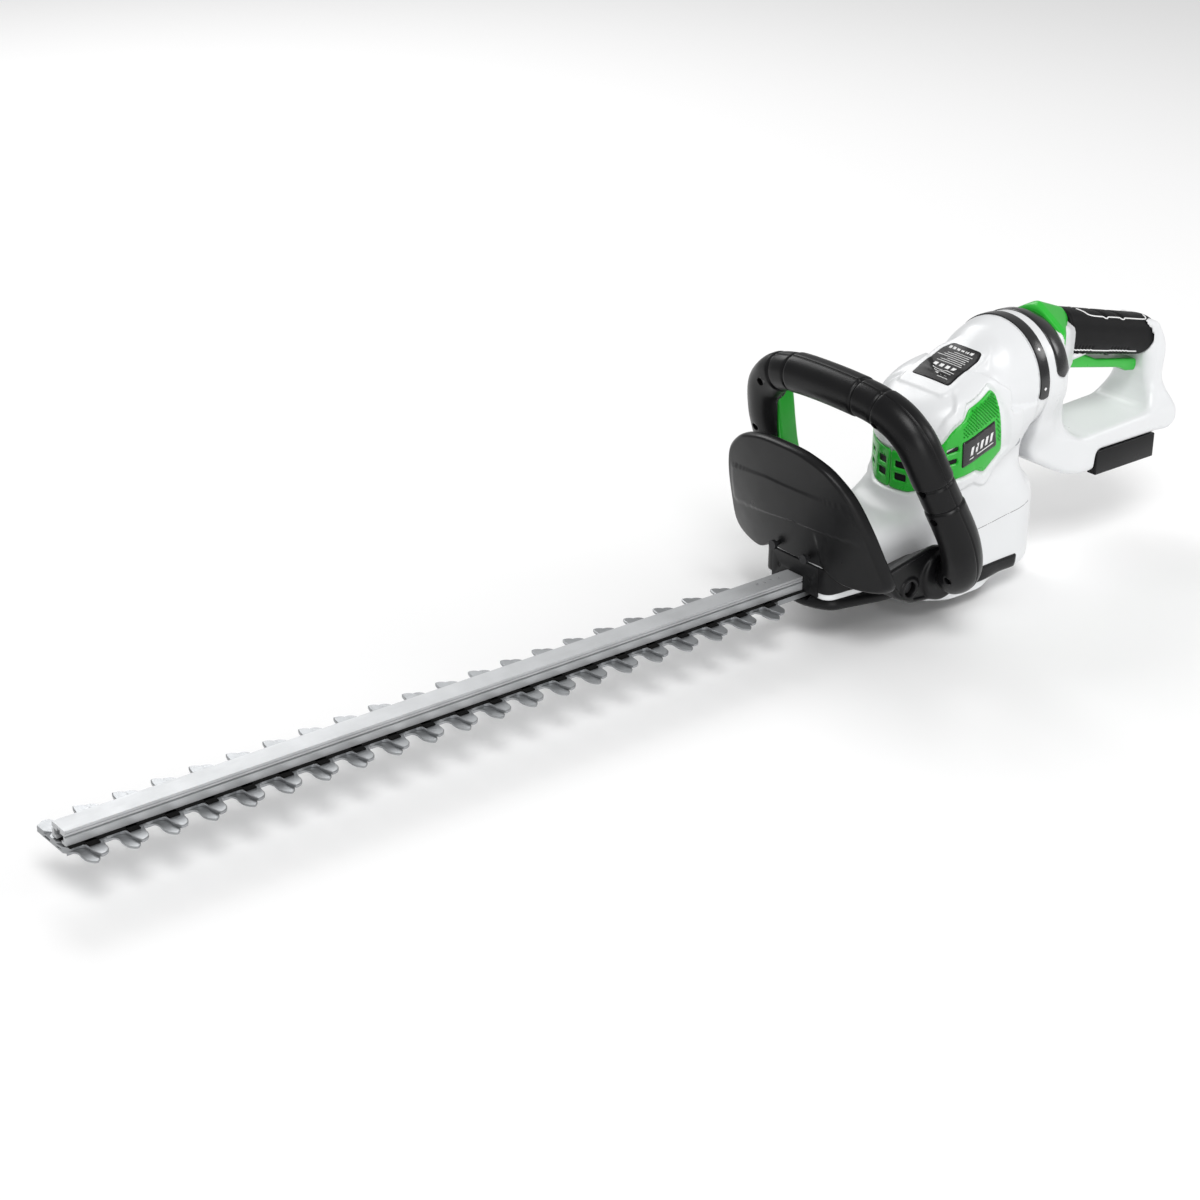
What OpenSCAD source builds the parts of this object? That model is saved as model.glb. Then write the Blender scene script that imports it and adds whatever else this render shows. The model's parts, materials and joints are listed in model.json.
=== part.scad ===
// Cordless hedge trimmer with a double-sided reciprocating blade and a swivelling rear handle.
// The blade runs along X with its tip towards -X. The origin is on the motor's axis, at the flat base.

/* [Blade] */
// Teeth along each side of the blade
tooth_count = 21; // [9:1:23]
// Distance from one tooth to the next
tooth_pitch = 24; // [20:1:26]
// How far a tooth reaches out from the middle of the blade
tooth_reach = 27.5; // [22:0.5:32]
// Half width of the blade between the teeth
blade_half_w = 11; // [9:0.5:12]
// Thickness of each blade
blade_t = 1.8; // [1.2:0.2:2]
// How far each blade moves to either side of its middle place
blade_stroke = 6; // [3:0.5:6]

/* [Support bar] */
// Width of the aluminium bar
bar_w = 14.7; // [13:0.1:16]
// Height of the aluminium bar
bar_h = 9; // [8:0.5:10]

/* [Drive] */
// Teeth on the drive gear
gear_teeth = 60; // [60:5:65]
// Teeth on the motor pinion
pinion_teeth = 12; // [12:1:14]
// Radius of the motor can
motor_r = 19; // [16:0.5:21]
// Length of the motor can
motor_l = 56; // [45:1:58]

/* [Housing] */
// Wall thickness of the moulded housings
wall = 2.6; // [2:0.1:3]
// Radius of the round motor housing
barrel_r = 38; // [37:0.5:40]
// Radius of the swivel ring at the back of the housing
hub_r = 40; // [38:0.5:41]
// Height of the swivel axis above the base
hub_z = 130; // [128:1:132]

/* [Handles] */
// Radius of the front handle's tube
tube_r = 13.2; // [12:0.2:14]
// Wall thickness of the front handle's tube
tube_wall = 2.5; // [2:0.1:3]
// Half width of the lower bar of the rear handle
foot_half_w = 27; // [25:0.5:28]

/* [Hidden] */

// Places along the tool
motor_to_tip = 636;
first_tooth_x = -motor_to_tip;
blade_top = 21.1;
slide_gap = 0.15;
far_shift = -4.4;
upper_z = blade_top + slide_gap;
strip_z = upper_z + blade_t + slide_gap;
strip_t = 1;
bar_z = strip_z + strip_t;
bar_front = -643;
bar_back = -98;
block_front = -118;
tail_end = -64;
bolt_count = 6;
bolt_first = -606;
bolt_step = 88;
bolt_r = 2.5;
bush_r = 3.4;
slot_r = 3.75;

// Gear train
gear_x = -36;
crank_throw = blade_stroke;
rod_reach = 44;
disc_r = 10.6;
run_gap = 0.06;
gear_z = 28.5;
gear_h = 7;
shaft_r = 4;
pin_r = 2.4;
upper_rod_z = 23.5;
lower_rod_z = 16.2;
rod_h = 2.7;
motor_z = 50;

// Swivel, rear handle
ring_x = 57;
ring_w = 9;
rear_x = ring_x + ring_w + 0.4;
spigot_r = 30;

fine = 64;

// ---------- general shapes ----------

// A cylinder lying along X from x = from to x = to
module rod_x(r, from, to, y = 0, z = 0, fn = fine) {
    translate([from, y, z]) rotate([0, 90, 0]) cylinder(r = r, h = to - from, $fn = fn);
}

// A cylinder lying along Y
module rod_y(r, from, to, x = 0, z = 0, fn = fine) {
    translate([x, from, z]) rotate([-90, 0, 0]) cylinder(r = r, h = to - from, $fn = fn);
}

// A box between two corners
module span(low, high) {
    translate(low) cube(high - low);
}

// Both sides of the tool
module both_sides() {
    children();
    mirror([0, 1, 0]) children();
}

// A side outline in x and z, as thick as half_w to either side of the middle
module side_plate(points, half_w) {
    translate([0, half_w, 0]) rotate([90, 0, 0]) linear_extrude(2 * half_w) polygon(points);
}

// A ball at both sides
module balls(x, y, z, r) {
    both_sides() translate([x, y, z]) sphere(r = r, $fn = 20);
}

// ---------- blades and bar ----------

// One tooth of the lower blade: a long curved leading edge, a notched tip and a short trailing edge
function long_tooth(x, s) = [
    [x - 9, s * blade_half_w], [x - 5, s * (blade_half_w + 2)], [x - 2, s * (tooth_reach - 8)],
    [x - 0.5, s * (tooth_reach - 2)], [x + 1, s * tooth_reach], [x + 4, s * (tooth_reach - 0.5)],
    [x + 5.5, s * (tooth_reach - 3)], [x + 6.5, s * (tooth_reach - 3.2)], [x + 8, s * (blade_half_w + 6)],
    [x + 10, s * (blade_half_w + 1.5)], [x + 12.5, s * blade_half_w]
];

// One tooth of the upper blade: shorter, with a round tip
function round_tooth(x, s) = [
    [x - 7, s * blade_half_w], [x - 4.5, s * (blade_half_w + 4)], [x - 4, s * (tooth_reach - 4)],
    [x - 2.6, s * (tooth_reach - 1)], [x, s * tooth_reach], [x + 2.6, s * (tooth_reach - 1)],
    [x + 4.4, s * (tooth_reach - 4)], [x + 6, s * (blade_half_w + 3)], [x + 9, s * blade_half_w]
];

// The whole outline of a blade, one side forwards and the other side back
module blade_outline(near_shift, far_shift_x, near_round) {
    near = [for (i = [0 : tooth_count - 1])
        each near_round ? round_tooth(first_tooth_x + near_shift + i * tooth_pitch, -1)
                        : long_tooth(first_tooth_x + near_shift + i * tooth_pitch, -1)];
    far = [for (i = [tooth_count - 1 : -1 : 0])
        let (p = round_tooth(first_tooth_x + far_shift_x + i * tooth_pitch, 1))
        each [for (k = [len(p) - 1 : -1 : 0]) p[k]]];
    front_x = first_tooth_x - 8.6 + max(near_shift, 0) * 0.1;
    polygon(concat([[front_x, -5]], near,
        [[block_front, -blade_half_w], [tail_end, -blade_half_w], [tail_end, blade_half_w],
         [block_front, blade_half_w]],
        [for (p = far) if (p[0] > front_x) p], [[front_x, tooth_reach - 4]]));
}

// An upright slot, round at both ends
module slot(x, r, half_l, z0, z1) {
    for (s = [-1, 1]) translate([x + s * half_l, 0, z0]) cylinder(r = r, h = z1 - z0, $fn = 32);
    span([x - half_l, -r, z0], [x + half_l, r, z1]);
}

module blade(z, near_shift, far_shift_x, near_round) {
    difference() {
        translate([0, 0, z]) linear_extrude(blade_t) blade_outline(near_shift, far_shift_x, near_round);
        for (i = [0 : bolt_count - 1]) {
            slot(bolt_first + i * bolt_step, slot_r, blade_stroke + 0.4, z - 1, z + blade_t + 1);
        }
        translate([gear_x - rod_reach, 0, z - 1]) cylinder(r = pin_r + run_gap, h = blade_t + 2, $fn = fine);
    }
}

module upper_blade() {
    color("silver") blade(upper_z, 7.5, far_shift, true);
}

module lower_blade() {
    color("lightsteelblue") blade(blade_top - blade_t, 0, 3, false);
}

// The bar is a hollow profile that is open below, with a long groove down each side
module support_bar() {
    w = bar_w / 2;
    color("gainsboro") difference() {
        translate([bar_front, 0, bar_z]) rotate([90, 0, 90]) linear_extrude(bar_back - bar_front) polygon([
            [-w, 0], [-w, bar_h * 0.52], [-w + 0.6, bar_h * 0.57], [-w, bar_h * 0.62], [-w, bar_h - 0.6],
            [-w + 0.6, bar_h], [w - 0.6, bar_h], [w, bar_h - 0.6], [w, bar_h * 0.62], [w - 0.6, bar_h * 0.57],
            [w, bar_h * 0.52], [w, 0], [2.9, 0], [2.9, 1.8], [5.2, 1.8], [5.2, 5.4], [1.6, 5.4], [1.6, 7.2],
            [-1.6, 7.2], [-1.6, 5.4], [-5.2, 5.4], [-5.2, 1.8], [-2.9, 1.8], [-2.9, 0]
        ]);
        for (i = [0 : 3]) {
            translate([-148.5 + i * 5.7, 0, bar_z + bar_h - 3]) cylinder(r = 0.9, h = 4, $fn = 24);
        }
    }
}

// The strip keeps the blades off the bar, and has a wear pad beside every tooth
module guide_strip() {
    color("dimgray") difference() {
        union() {
            span([bar_front + 1, -8.6, strip_z], [bar_back - 2, 8.6, bar_z]);
            for (i = [0 : tooth_count - 1]) {
                span([first_tooth_x + 10 + i * tooth_pitch, -12.4, strip_z],
                     [first_tooth_x + 18 + i * tooth_pitch, 12.4, bar_z]);
            }
        }
        for (i = [0 : bolt_count - 1]) {
            translate([bolt_first + i * bolt_step, 0, strip_z - 1]) cylinder(r = bolt_r + 0.1, h = 4, $fn = 32);
        }
    }
}

module each_bolt() {
    for (i = [0 : bolt_count - 1]) translate([bolt_first + i * bolt_step, 0, 0]) children();
}

head_z = blade_top - blade_t - 0.3;

module blade_bolts() {
    color("gray") each_bolt() {
        translate([0, 0, head_z - 2]) cylinder(r = 5, h = 2, $fn = 32);
        translate([0, 0, head_z - 0.1]) cylinder(r = bolt_r, h = 10.6, $fn = 32);
    }
}

module blade_bushes() {
    color("goldenrod") each_bolt() difference() {
        translate([0, 0, head_z]) cylinder(r = bush_r, h = strip_z - head_z, $fn = fine);
        translate([0, 0, head_z - 1]) cylinder(r = bolt_r + 0.02, h = 8, $fn = fine);
    }
}

module blade_nuts() {
    color("gray") each_bolt() difference() {
        span([-4.5, -4.5, bar_z + 2], [4.5, 4.5, bar_z + 5.1]);
        translate([0, 0, bar_z]) cylinder(r = bolt_r + 0.02, h = 8, $fn = fine);
    }
}

// ---------- gearbox ----------

module mount_block() {
    color("#202022") difference() {
        union() {
            span([block_front, -21.5, strip_z + 0.2], [bar_back, 21.5, 43.5]);
            span([block_front + 2, 21, 26], [bar_back, 27, 43]);
            span([bar_back - 0.1, -21.5, 34.5], [-71.2, 21.5, 43.5]);
        }
        span([block_front - 1, -8.8, 20], [bar_back + 1, 8.8, bar_z + 0.1]);
        span([block_front - 1, -bar_w / 2 - 0.1, 20], [bar_back + 1, bar_w / 2 + 0.1, bar_z + bar_h + 0.1]);
        for (s = [-1, 1]) rod_x(1.6, block_front - 1, block_front + 14, s * 14.5, 34, 32);
    }
}

// Round outline that wraps both gear axes
module gear_shell(extra, z0, z1) {
    translate([gear_x, 0, z0]) cylinder(r = 32.4 + extra, h = z1 - z0, $fn = 96);
    translate([0, 0, z0]) cylinder(r = 20 + extra, h = z1 - z0, $fn = fine);
    span([gear_x, -20 - extra, z0], [0, 20 + extra, z1]);
}

module gear_case() {
    color("darkgray") difference() {
        union() {
            gear_shell(2.4, 22, 46);
            translate([0, 0, 46]) cylinder(r = 22, h = 3.9, $fn = fine);
        }
        gear_shell(0, 21, 37);
        span([-90, -21.7, 20], [gear_x - 20, 21.7, 37]);
        translate([gear_x, 0, 30]) cylinder(r = 7, h = 14, $fn = fine);
        translate([0, 0, 30]) cylinder(r = 9, h = 30, $fn = fine);
        for (s = [-1, 1]) translate([0, s * 15, 40]) cylinder(r = 1.6, h = 12, $fn = 24);
    }
}

cover_z = 13.2;

module bottom_cover() {
    nose = block_front + 10;
    color("#1c1c1e") difference() {
        union() {
            linear_cover(0, cover_z, 21.8);
            translate([gear_x, 0, 9.6]) cylinder(r = 10, h = 5, $fn = fine);
        }
        difference() {
            linear_cover(2.4, 15.4, 22);
            translate([0, 0, 15]) cylinder(r = 4, h = 7, $fn = fine);
        }
        span([block_front - 6, -13, 18.6], [nose, 13, 23]);
        translate([gear_x, 0, 11.2]) cylinder(r = 6.5, h = 20, $fn = fine);
        for (x = [-96, -4], s = [-1, 1]) {
            translate([x, s * 22, 8]) cylinder(r = 1.7, h = 20, $fn = 24);
        }
    }
}

// Plan outline of the bottom cover, drawn in by inset
module linear_cover(inset, z0, z1) {
    translate([0, 0, z0]) linear_extrude(z1 - z0) polygon([
        [block_front + 2 + inset, -20 + inset], [block_front + 8 + inset, -28 + inset], [-72, -37 + inset],
        [-14.5 - inset, -39 + inset], [-14.5 - inset, 39 - inset], [-72, 37 - inset],
        [block_front + 8 + inset, 28 - inset], [block_front + 2 + inset, 20 - inset],
        [block_front - 2 + inset, 10 - inset], [block_front - 2 + inset, -10 + inset]
    ]);
}

module cover_screws() {
    color("silver") for (x = [-96], s = [-1, 1]) translate([x, s * 22, 0]) {
        translate([0, 0, 11.2]) cylinder(r = 3.2, h = 1.9, $fn = 32);
        translate([0, 0, 13]) cylinder(r = 1.5, h = 8.6, $fn = 24);
    }
}

// The crank: a shaft with one eccentric disc for each blade, half a turn apart
module crank() {
    color("slategray") translate([gear_x, 0, 0]) {
        translate([0, 0, 11.6]) cylinder(r = shaft_r, h = 32, $fn = fine);
        translate([0, crank_throw, upper_rod_z - 0.2]) cylinder(r = disc_r, h = rod_h + 0.4, $fn = fine);
        translate([0, -crank_throw, lower_rod_z - 0.2]) cylinder(r = disc_r, h = rod_h + 0.4, $fn = fine);
        translate([0, 0, lower_rod_z]) cylinder(r = disc_r - crank_throw - 0.1, h = 11, $fn = fine);
    }
}

// A spur gear with straight-flanked teeth, module 1
module spur(teeth, bore_r, z, h, turn) {
    r = teeth / 2;
    step = 360 / teeth;
    outline = [for (i = [0 : teeth - 1]) each [
        for (p = [[-0.30, -1.15], [-0.17, 0.75], [0.17, 0.75], [0.30, -1.15]])
            [(r + p[1]) * cos((i + p[0]) * step + turn), (r + p[1]) * sin((i + p[0]) * step + turn)]
    ]];
    translate([0, 0, z]) linear_extrude(h) difference() {
        polygon(outline);
        circle(r = bore_r, $fn = fine);
    }
}

module drive_gear() {
    color("dimgray") difference() {
        translate([gear_x, 0, 0]) spur(gear_teeth, shaft_r + 0.01, gear_z, gear_h, 0);
        for (a = [30 : 60 : 330]) {
            translate([gear_x + 18 * cos(a), 18 * sin(a), gear_z - 1]) cylinder(r = 5, h = gear_h + 2, $fn = 40);
        }
    }
}

module crank_bushes() {
    color("goldenrod") translate([gear_x, 0, 0]) for (z = [[11.3, 4], [37.2, 6.4]]) difference() {
        translate([0, 0, z[0]]) cylinder(r = z[1] > 5 ? 7 : 6.5, h = z[1], $fn = fine);
        translate([0, 0, z[0] - 1]) cylinder(r = shaft_r + run_gap, h = z[1] + 2, $fn = fine);
    }
}

// A connecting rod: a ring round its eccentric disc and an eye over the blade's tail
module rod_link(y, z) {
    difference() {
        union() {
            translate([gear_x, y, z]) cylinder(r = disc_r + 2, h = rod_h, $fn = fine);
            translate([gear_x - rod_reach, y, z]) cylinder(r = 5, h = rod_h, $fn = fine);
            span([gear_x - rod_reach, y - 3.6, z], [gear_x - disc_r, y + 3.6, z + rod_h]);
        }
        translate([gear_x, y, z - 1]) cylinder(r = disc_r + run_gap, h = rod_h + 2, $fn = fine);
        translate([gear_x - rod_reach, y, z - 1]) cylinder(r = pin_r, h = rod_h + 2, $fn = fine);
    }
}

module upper_rod() {
    color("steelblue") rod_link(crank_throw, upper_rod_z);
}

module lower_rod() {
    color("steelblue") rod_link(-crank_throw, lower_rod_z);
}

// Screws that hold the motor to the top of the gear case
module motor_screws() {
    color("gray") for (s = [-1, 1]) translate([0, s * 15, 41]) {
        cylinder(r = 1.6, h = 8.9, $fn = 24);
    }
}

// ---------- motor ----------

module pinion() {
    color("dimgray") spur(pinion_teeth, 2.51, gear_z - 1, gear_h + 2, 180 / pinion_teeth);
}

module motor_shaft() {
    color("silver") translate([0, 0, 26]) cylinder(r = 2.5, h = 88, $fn = fine);
}

module motor_can() {
    color("#6c6f74") difference() {
        union() {
            translate([0, 0, motor_z]) cylinder(r = motor_r, h = motor_l, $fn = fine);
            translate([0, 0, motor_z - 8]) cylinder(r = 7, h = 8.1, $fn = fine);
        }
        translate([0, 0, motor_z - 9]) cylinder(r = 2.5 + run_gap, h = motor_l + 12, $fn = fine);
        for (s = [-1, 1]) translate([0, s * 15, motor_z - 1]) cylinder(r = 1.7, h = 6, $fn = 24);
    }
}

module cooling_fan() {
    color("#3a3a3c") translate([0, 0, motor_z + motor_l + 1]) {
        difference() {
            cylinder(r = 5, h = 6, $fn = fine);
            translate([0, 0, -1]) cylinder(r = 2.51, h = 8, $fn = fine);
        }
        difference() {
            cylinder(r = 19, h = 1.2, $fn = fine);
            translate([0, 0, -1]) cylinder(r = 4.9, h = 8, $fn = fine);
        }
        for (a = [0 : 40 : 320]) rotate(a) span([4.8, -0.6, 1], [18.5, 0.6, 6]);
    }
}

module control_board() {
    color("darkgreen") {
        span([30, -18, 60], [31.6, 18, 100]);
        for (y = [-10, 0, 10]) span([31.5, y - 3, 62], [36, y + 3, 72]);
        translate([31.5, 0, 82]) rotate([0, 90, 0]) cylinder(r = 6, h = 12, $fn = 32);
    }
}

// ---------- main housing ----------

// The closed outer form of the main housing, drawn in by i all round
module body_form(i) {
    hull() {
        translate([0, 0, 56]) cylinder(r = barrel_r - i, h = 54, $fn = 48);
        balls(-15, 17, 128, 9 - i);
        balls(37, 17, 145, 8 - i);
        rod_x(hub_r - i, ring_x - 8, ring_x - i, 0, hub_z, 48);
        balls(48, 30, 72, 9 - i);
    }
    hull() {
        balls(block_front + 8, 19, 51, 8 - i);
        span([block_front + i, -28 + i, 22 + i], [block_front + 6, 28 - i, 40]);
        balls(-38, 28, 54, 10 - i);
        translate([-2, 0, 22 + i]) cylinder(r = 40 - i, h = 34, $fn = 48);
    }
    hull() {
        translate([47, 0, 14]) cylinder(r = 38.5 - i, h = 34, $fn = 48);
        translate([42, 0, i]) cylinder(r = 24 - i, h = 4, $fn = 40);
        translate([0, 0, i]) cylinder(r = 13 - i, h = 4, $fn = 32);
        translate([42, 0, 58]) cylinder(r = 30 - i, h = 8 - i, $fn = 40);
        translate([24, 0, 16]) cylinder(r = 38.5 - i, h = 40, $fn = 48);
    }
}

// A half of the main housing, from its outer form less its inside and its openings
module body_half(side) {
    resize([0, 0, 0]) difference() {
        intersection() {
            body_form(0);
            span([-200, side > 0 ? 0 : -100, -5], [120, side > 0 ? 100 : 0, 200]);
        }
        difference() {
            body_form(wall);
            for (p = housing_posts) rod_y(4.5, -60, 60, p[0], p[1], 24);
        }
        for (p = housing_posts) rod_y(1.7, -60, 60, p[0], p[1], 20);
        for (p = housing_posts) rod_y(3.6, -60, -p[2] + 5.1, p[0], p[1], 20);
        span([block_front - 1, -22, 10], [-90, 27.4, 44]);
        span([block_front - 8, -31, 0], [-14.3, 31, 22.4]);
        span([-90, -38, 0], [-14.3, 38, 22.3]);
        gear_shell(2.7, 10, 46.4);
        span([-98, -14, 20], [-60, 14, 27]);
        both_sides() rod_x(1.6, -130, -105, 14.5, 49.5, 24);
        rod_x(spigot_r + 0.3, 40, 70, 0, hub_z, 48);
        air_slots();
    }
}

// Screw posts in the housing: x, z and how far out the housing's side is there
housing_posts = [[-100, 49, 22], [40, 30, 38], [44, 96, 38], [-10, 122, 22]];

// Air slots through the green panels and the housing behind them, in front and at each side
module air_slots() {
    both_sides() for (z = [79, 87.5]) {
        span([-60, 4, z], [-25, 13, z + 4.5]);
        span([-25, 20, z + 11], [-16, 60, z + 15]);
    }
}

module housing_left() {
    color("white") body_half(-1);
}

module housing_right() {
    color("white") body_half(1);
}

module housing_screws() {
    color("silver") for (p = housing_posts) {
        rod_y(1.5, -p[2] + 3, 14, p[0], p[1], 24);
        rod_y(3.2, -p[2] + 3, -p[2] + 5, p[0], p[1], 24);
    }
}

// Side outline of the green panel
module panel_outline() {
    polygon([
        [-60, 99], [-34, 99.5], [-22.5, 108], [-16, 118.5], [-9.5, 123.5], [-6, 131.5], [18, 139.5],
        [20.5, 134], [29, 95.5], [10, 83], [2, 87], [-11, 84.5], [-35, 73.5], [-60, 73.5]
    ]);
}

// A skin of the body form between two heights above it, inside a side outline
module body_skin(low, high, side) {
    resize([0, 0, 0]) difference() {
        intersection() {
            body_form(-high);
            translate([0, side > 0 ? 90 : 0, 0]) rotate([90, 0, 0]) linear_extrude(90) children();
        }
        body_form(-low);
        span([-60, -0.15, 0], [60, 0.15, 200]);
    }
}

module panel(side) {
    difference() {
        body_skin(0.05, 1.6, side) panel_outline();
        air_slots();
    }
}

module side_panel_left() {
    color("limegreen") panel(-1);
}

module side_panel_right() {
    color("limegreen") panel(1);
}

module badge(side) {
    body_skin(1.65, 2.5, side) polygon([[-9.5, 91.5], [-10.5, 109], [17.5, 118.5], [21, 100]]);
}

module side_badge_left() {
    color("#141414") badge(-1);
}

module side_badge_right() {
    color("#141414") badge(1);
}

module rating_label() {
    color("#181818") resize([0, 0, 0]) difference() {
        intersection() {
            body_form(-0.6);
            translate([0, 0, 120]) linear_extrude(60) polygon([
                [-9, -16.5], [-9, 16.5], [22, 15], [29, 9], [29, -9], [22, -15]
            ]);
        }
        body_form(-0.05);
    }
}

// Black strips let into the sides of the base, behind the brackets
module base_strip(side) {
    color("#1b1b1d") body_skin(0.05, 1.4, side) polygon([[-10, 4], [-10, 15], [50, 17], [50, 6]]);
}

module base_strip_left() {
    base_strip(-1);
}

module base_strip_right() {
    base_strip(1);
}

// ---------- guard ----------

// Half of the guard's outline, y and z
guard_half = [
    [10, 127], [23, 125.3], [37, 121], [46, 115.3], [54.5, 106.6], [60, 96], [65, 80.6], [69, 62], [72, 46],
    [66, 38.5], [53, 36], [40, 36.5], [25, 45], [10, 45]
];
guard_all = concat(
    guard_half,
    [for (k = [len(guard_half) - 1 : -1 : 0]) [-guard_half[k][0], guard_half[k][1]]]
);
guard_mid = 80;
guard_t = 2.4;
guard_rim = 8;

// Distance of the guard's face along X: it leans forwards at the top, and its wings sweep back
function guard_x(y, z) = -119.5 - (z - 44) * 0.22 + 12 * pow(y / 72, 2) * (1.1 - (z - 44) / 100);

function guard_ring(t, back) = [
    for (p = guard_all)
        let (y = p[0] * t, z = guard_mid + (p[1] - guard_mid) * t) [guard_x(y, z) + back, y, z]
];

// A closed skin through rings that all have the same number of points
module ring_skin(rings) {
    n = len(rings[0]);
    m = len(rings);
    points = [for (r = rings) each r];
    sides = [for (i = [0 : m - 2], k = [0 : n - 1]) each [
        [i * n + k, i * n + (k + 1) % n, (i + 1) * n + (k + 1) % n],
        [i * n + k, (i + 1) * n + (k + 1) % n, (i + 1) * n + k]
    ]];
    polyhedron(points, concat([[for (k = [n - 1 : -1 : 0]) k]], sides, [[for (k = [0 : n - 1]) (m - 1) * n + k]]));
}

module guard() {
    color("#232325") resize([0, 0, 0]) difference() {
        ring_skin([
            guard_ring(0.02, 0), guard_ring(0.35, 0), guard_ring(0.7, 0), guard_ring(0.97, 0),
            guard_ring(1, 1), guard_ring(1, guard_rim), guard_ring(0.965, guard_rim), guard_ring(0.96, guard_t),
            guard_ring(0.7, guard_t), guard_ring(0.35, guard_t), guard_ring(0.02, guard_t)
        ]);
        for (s = [-1, 1]) rod_x(1.7, -140, -90, s * 14.5, 49.5, 24);
        span([block_front - 0.2, -30, 20], [-60, 30, 44.2]);
        body_form(-0.25);
    }
}

module guard_screws() {
    color("#303032") for (s = [-1, 1]) {
        rod_x(3.1, -125.5, -123.2, s * 14.5, 49.5, 24);
        rod_x(1.5, -123.3, -112, s * 14.5, 49.5, 24);
    }
}

// ---------- front handle ----------

// Middle line of the tube on one side, from the top to the bracket
tube_half = [
    [-89, 0, 154], [-89, 28, 153.3], [-89, 42, 151.5], [-88, 53, 148], [-86.5, 62, 142], [-84, 69, 133],
    [-77, 75, 113.5], [-67.5, 79, 92.5], [-59, 82, 74], [-54, 82.5, 61], [-49, 79.5, 49], [-45, 73, 39.5],
    [-43, 64, 34.5]
];
bail_lean = 20.7;
bail_top = [-89, 0, 154];

module tube_chain(r) {
    for (k = [0 : len(tube_half) - 2]) hull() {
        translate(tube_half[k]) sphere(r = r, $fn = 20);
        translate(tube_half[k + 1]) sphere(r = r, $fn = 20);
    }
}

module tube(r) {
    both_sides() tube_chain(r);
}

// Everything in front of the handle's own slanted plane, or behind it
module bail_side(front) {
    start = front ? -60 : 0.05;
    translate(bail_top) rotate([0, -bail_lean, 0]) span([start, -120, -180], [start + 59.95, 120, 60]);
}

// Slot in the far leg for the safety lever
module lever_slot(extra) {
    hull() for (k = [5, 9]) translate(tube_half[k] + [1, -9, 0]) rotate([0, -bail_lean, 0]) {
        cube([10 + 2 * extra, 15, 2 + 2 * extra], center = true);
    }
}

module handle_half(front) {
    color("#1a1a1c") resize([0, 0, 0]) difference() {
        intersection() {
            tube(tube_r);
            bail_side(front);
        }
        tube(tube_r - tube_wall);
        lever_slot(1.3);
        both_sides() span([-110, 0, 0], [-20, 66, 60]);
    }
}

module handle_front() {
    handle_half(true);
}

module handle_rear() {
    handle_half(false);
}

module handle_screws() {
    color("silver") for (p = [[-89, 15, 154], [-89, -15, 154]]) translate(p) rotate([0, -bail_lean, 0]) {
        rod_x(1.5, -7, 8, 0, 0, 24);
        rod_x(2.8, -8.6, -6.9, 0, 0, 24);
    }
}

module bracket(side) {
    mirror([0, side > 0 ? 0 : 1, 0]) color("#161618") difference() {
        resize([0, 0, 0]) difference() {
            union() {
                hull() {
                    rod_y(12.5, 41, 62, -76, 33, 32);
                    translate([-45, 41, 22]) cube([10, 22, 30]);
                    translate([-60, 41, 44]) cube([12, 20, 10]);
                }
                hull() {
                    translate([-44, 58, 34.5]) rotate([-90, 0, 0]) cylinder(r = 14.5, h = 7.5, $fn = 32);
                    translate([-52, 50, 34.5]) rotate([-90, 0, 0]) cylinder(r = 12, h = 4, $fn = 32);
                }
            }
            body_form(-0.3);
            linear_cover(-0.3, 12, 22);
        }
        rod_y(2.2, 30, 70, -76, 33, 32);
        rod_y(5.2, 55.4, 70, -76, 33, 32);
    }
}

module bracket_left() {
    bracket(-1);
}

module bracket_right() {
    bracket(1);
}

module bracket_screws() {
    color("#2c2c2e") both_sides() {
        rod_y(4.9, 55.5, 58.4, -76, 33, 32);
        rod_y(2.1, 40.6, 55.6, -76, 33, 32);
    }
}

// The lever lies along the inner side of the far leg and swings towards the tube
lever_foot = tube_half[9] + [0.3, -15, 2];
lever_head = tube_half[5] + [2.8, -14, -5];
lever_mid = (lever_head + lever_foot) / 2 + [0, 1, 0];

module lever_block(p) {
    translate(p) rotate([0, -bail_lean, 0]) cube([9, 8, 3], center = true);
}

module safety_lever() {
    color("limegreen") {
        hull() {
            lever_block(lever_head);
            lever_block(lever_mid);
        }
        hull() {
            lever_block(lever_mid);
            lever_block(lever_foot);
        }
    }
}

module safety_switch() {
    color("#303030") translate(tube_half[6] + [0, 5.6, 0]) rotate([0, -bail_lean, 0]) {
        cube([7, 4, 12], center = true);
    }
}

// ---------- swivel and rear handle ----------

module index_ring() {
    color("#1a1a1c") difference() {
        rod_x(hub_r, ring_x + 0.05, ring_x + ring_w, 0, hub_z);
        rod_x(spigot_r, ring_x - 1, ring_x + ring_w + 1, 0, hub_z);
        rod_x(34, ring_x + 6, ring_x + ring_w + 1, 0, hub_z);
    }
}

module swivel_hub() {
    color("#2f2f31") difference() {
        union() {
            rod_x(spigot_r - run_gap, ring_x - 6, rear_x + 6, 0, hub_z);
            rod_x(33, ring_x - 6, ring_x - 3.1, 0, hub_z);
            rod_x(33, rear_x + 0.1, rear_x + 6, 0, hub_z);
        }
        rod_x(26, ring_x - 7, rear_x + 8, 0, hub_z);
    }
}

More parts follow.
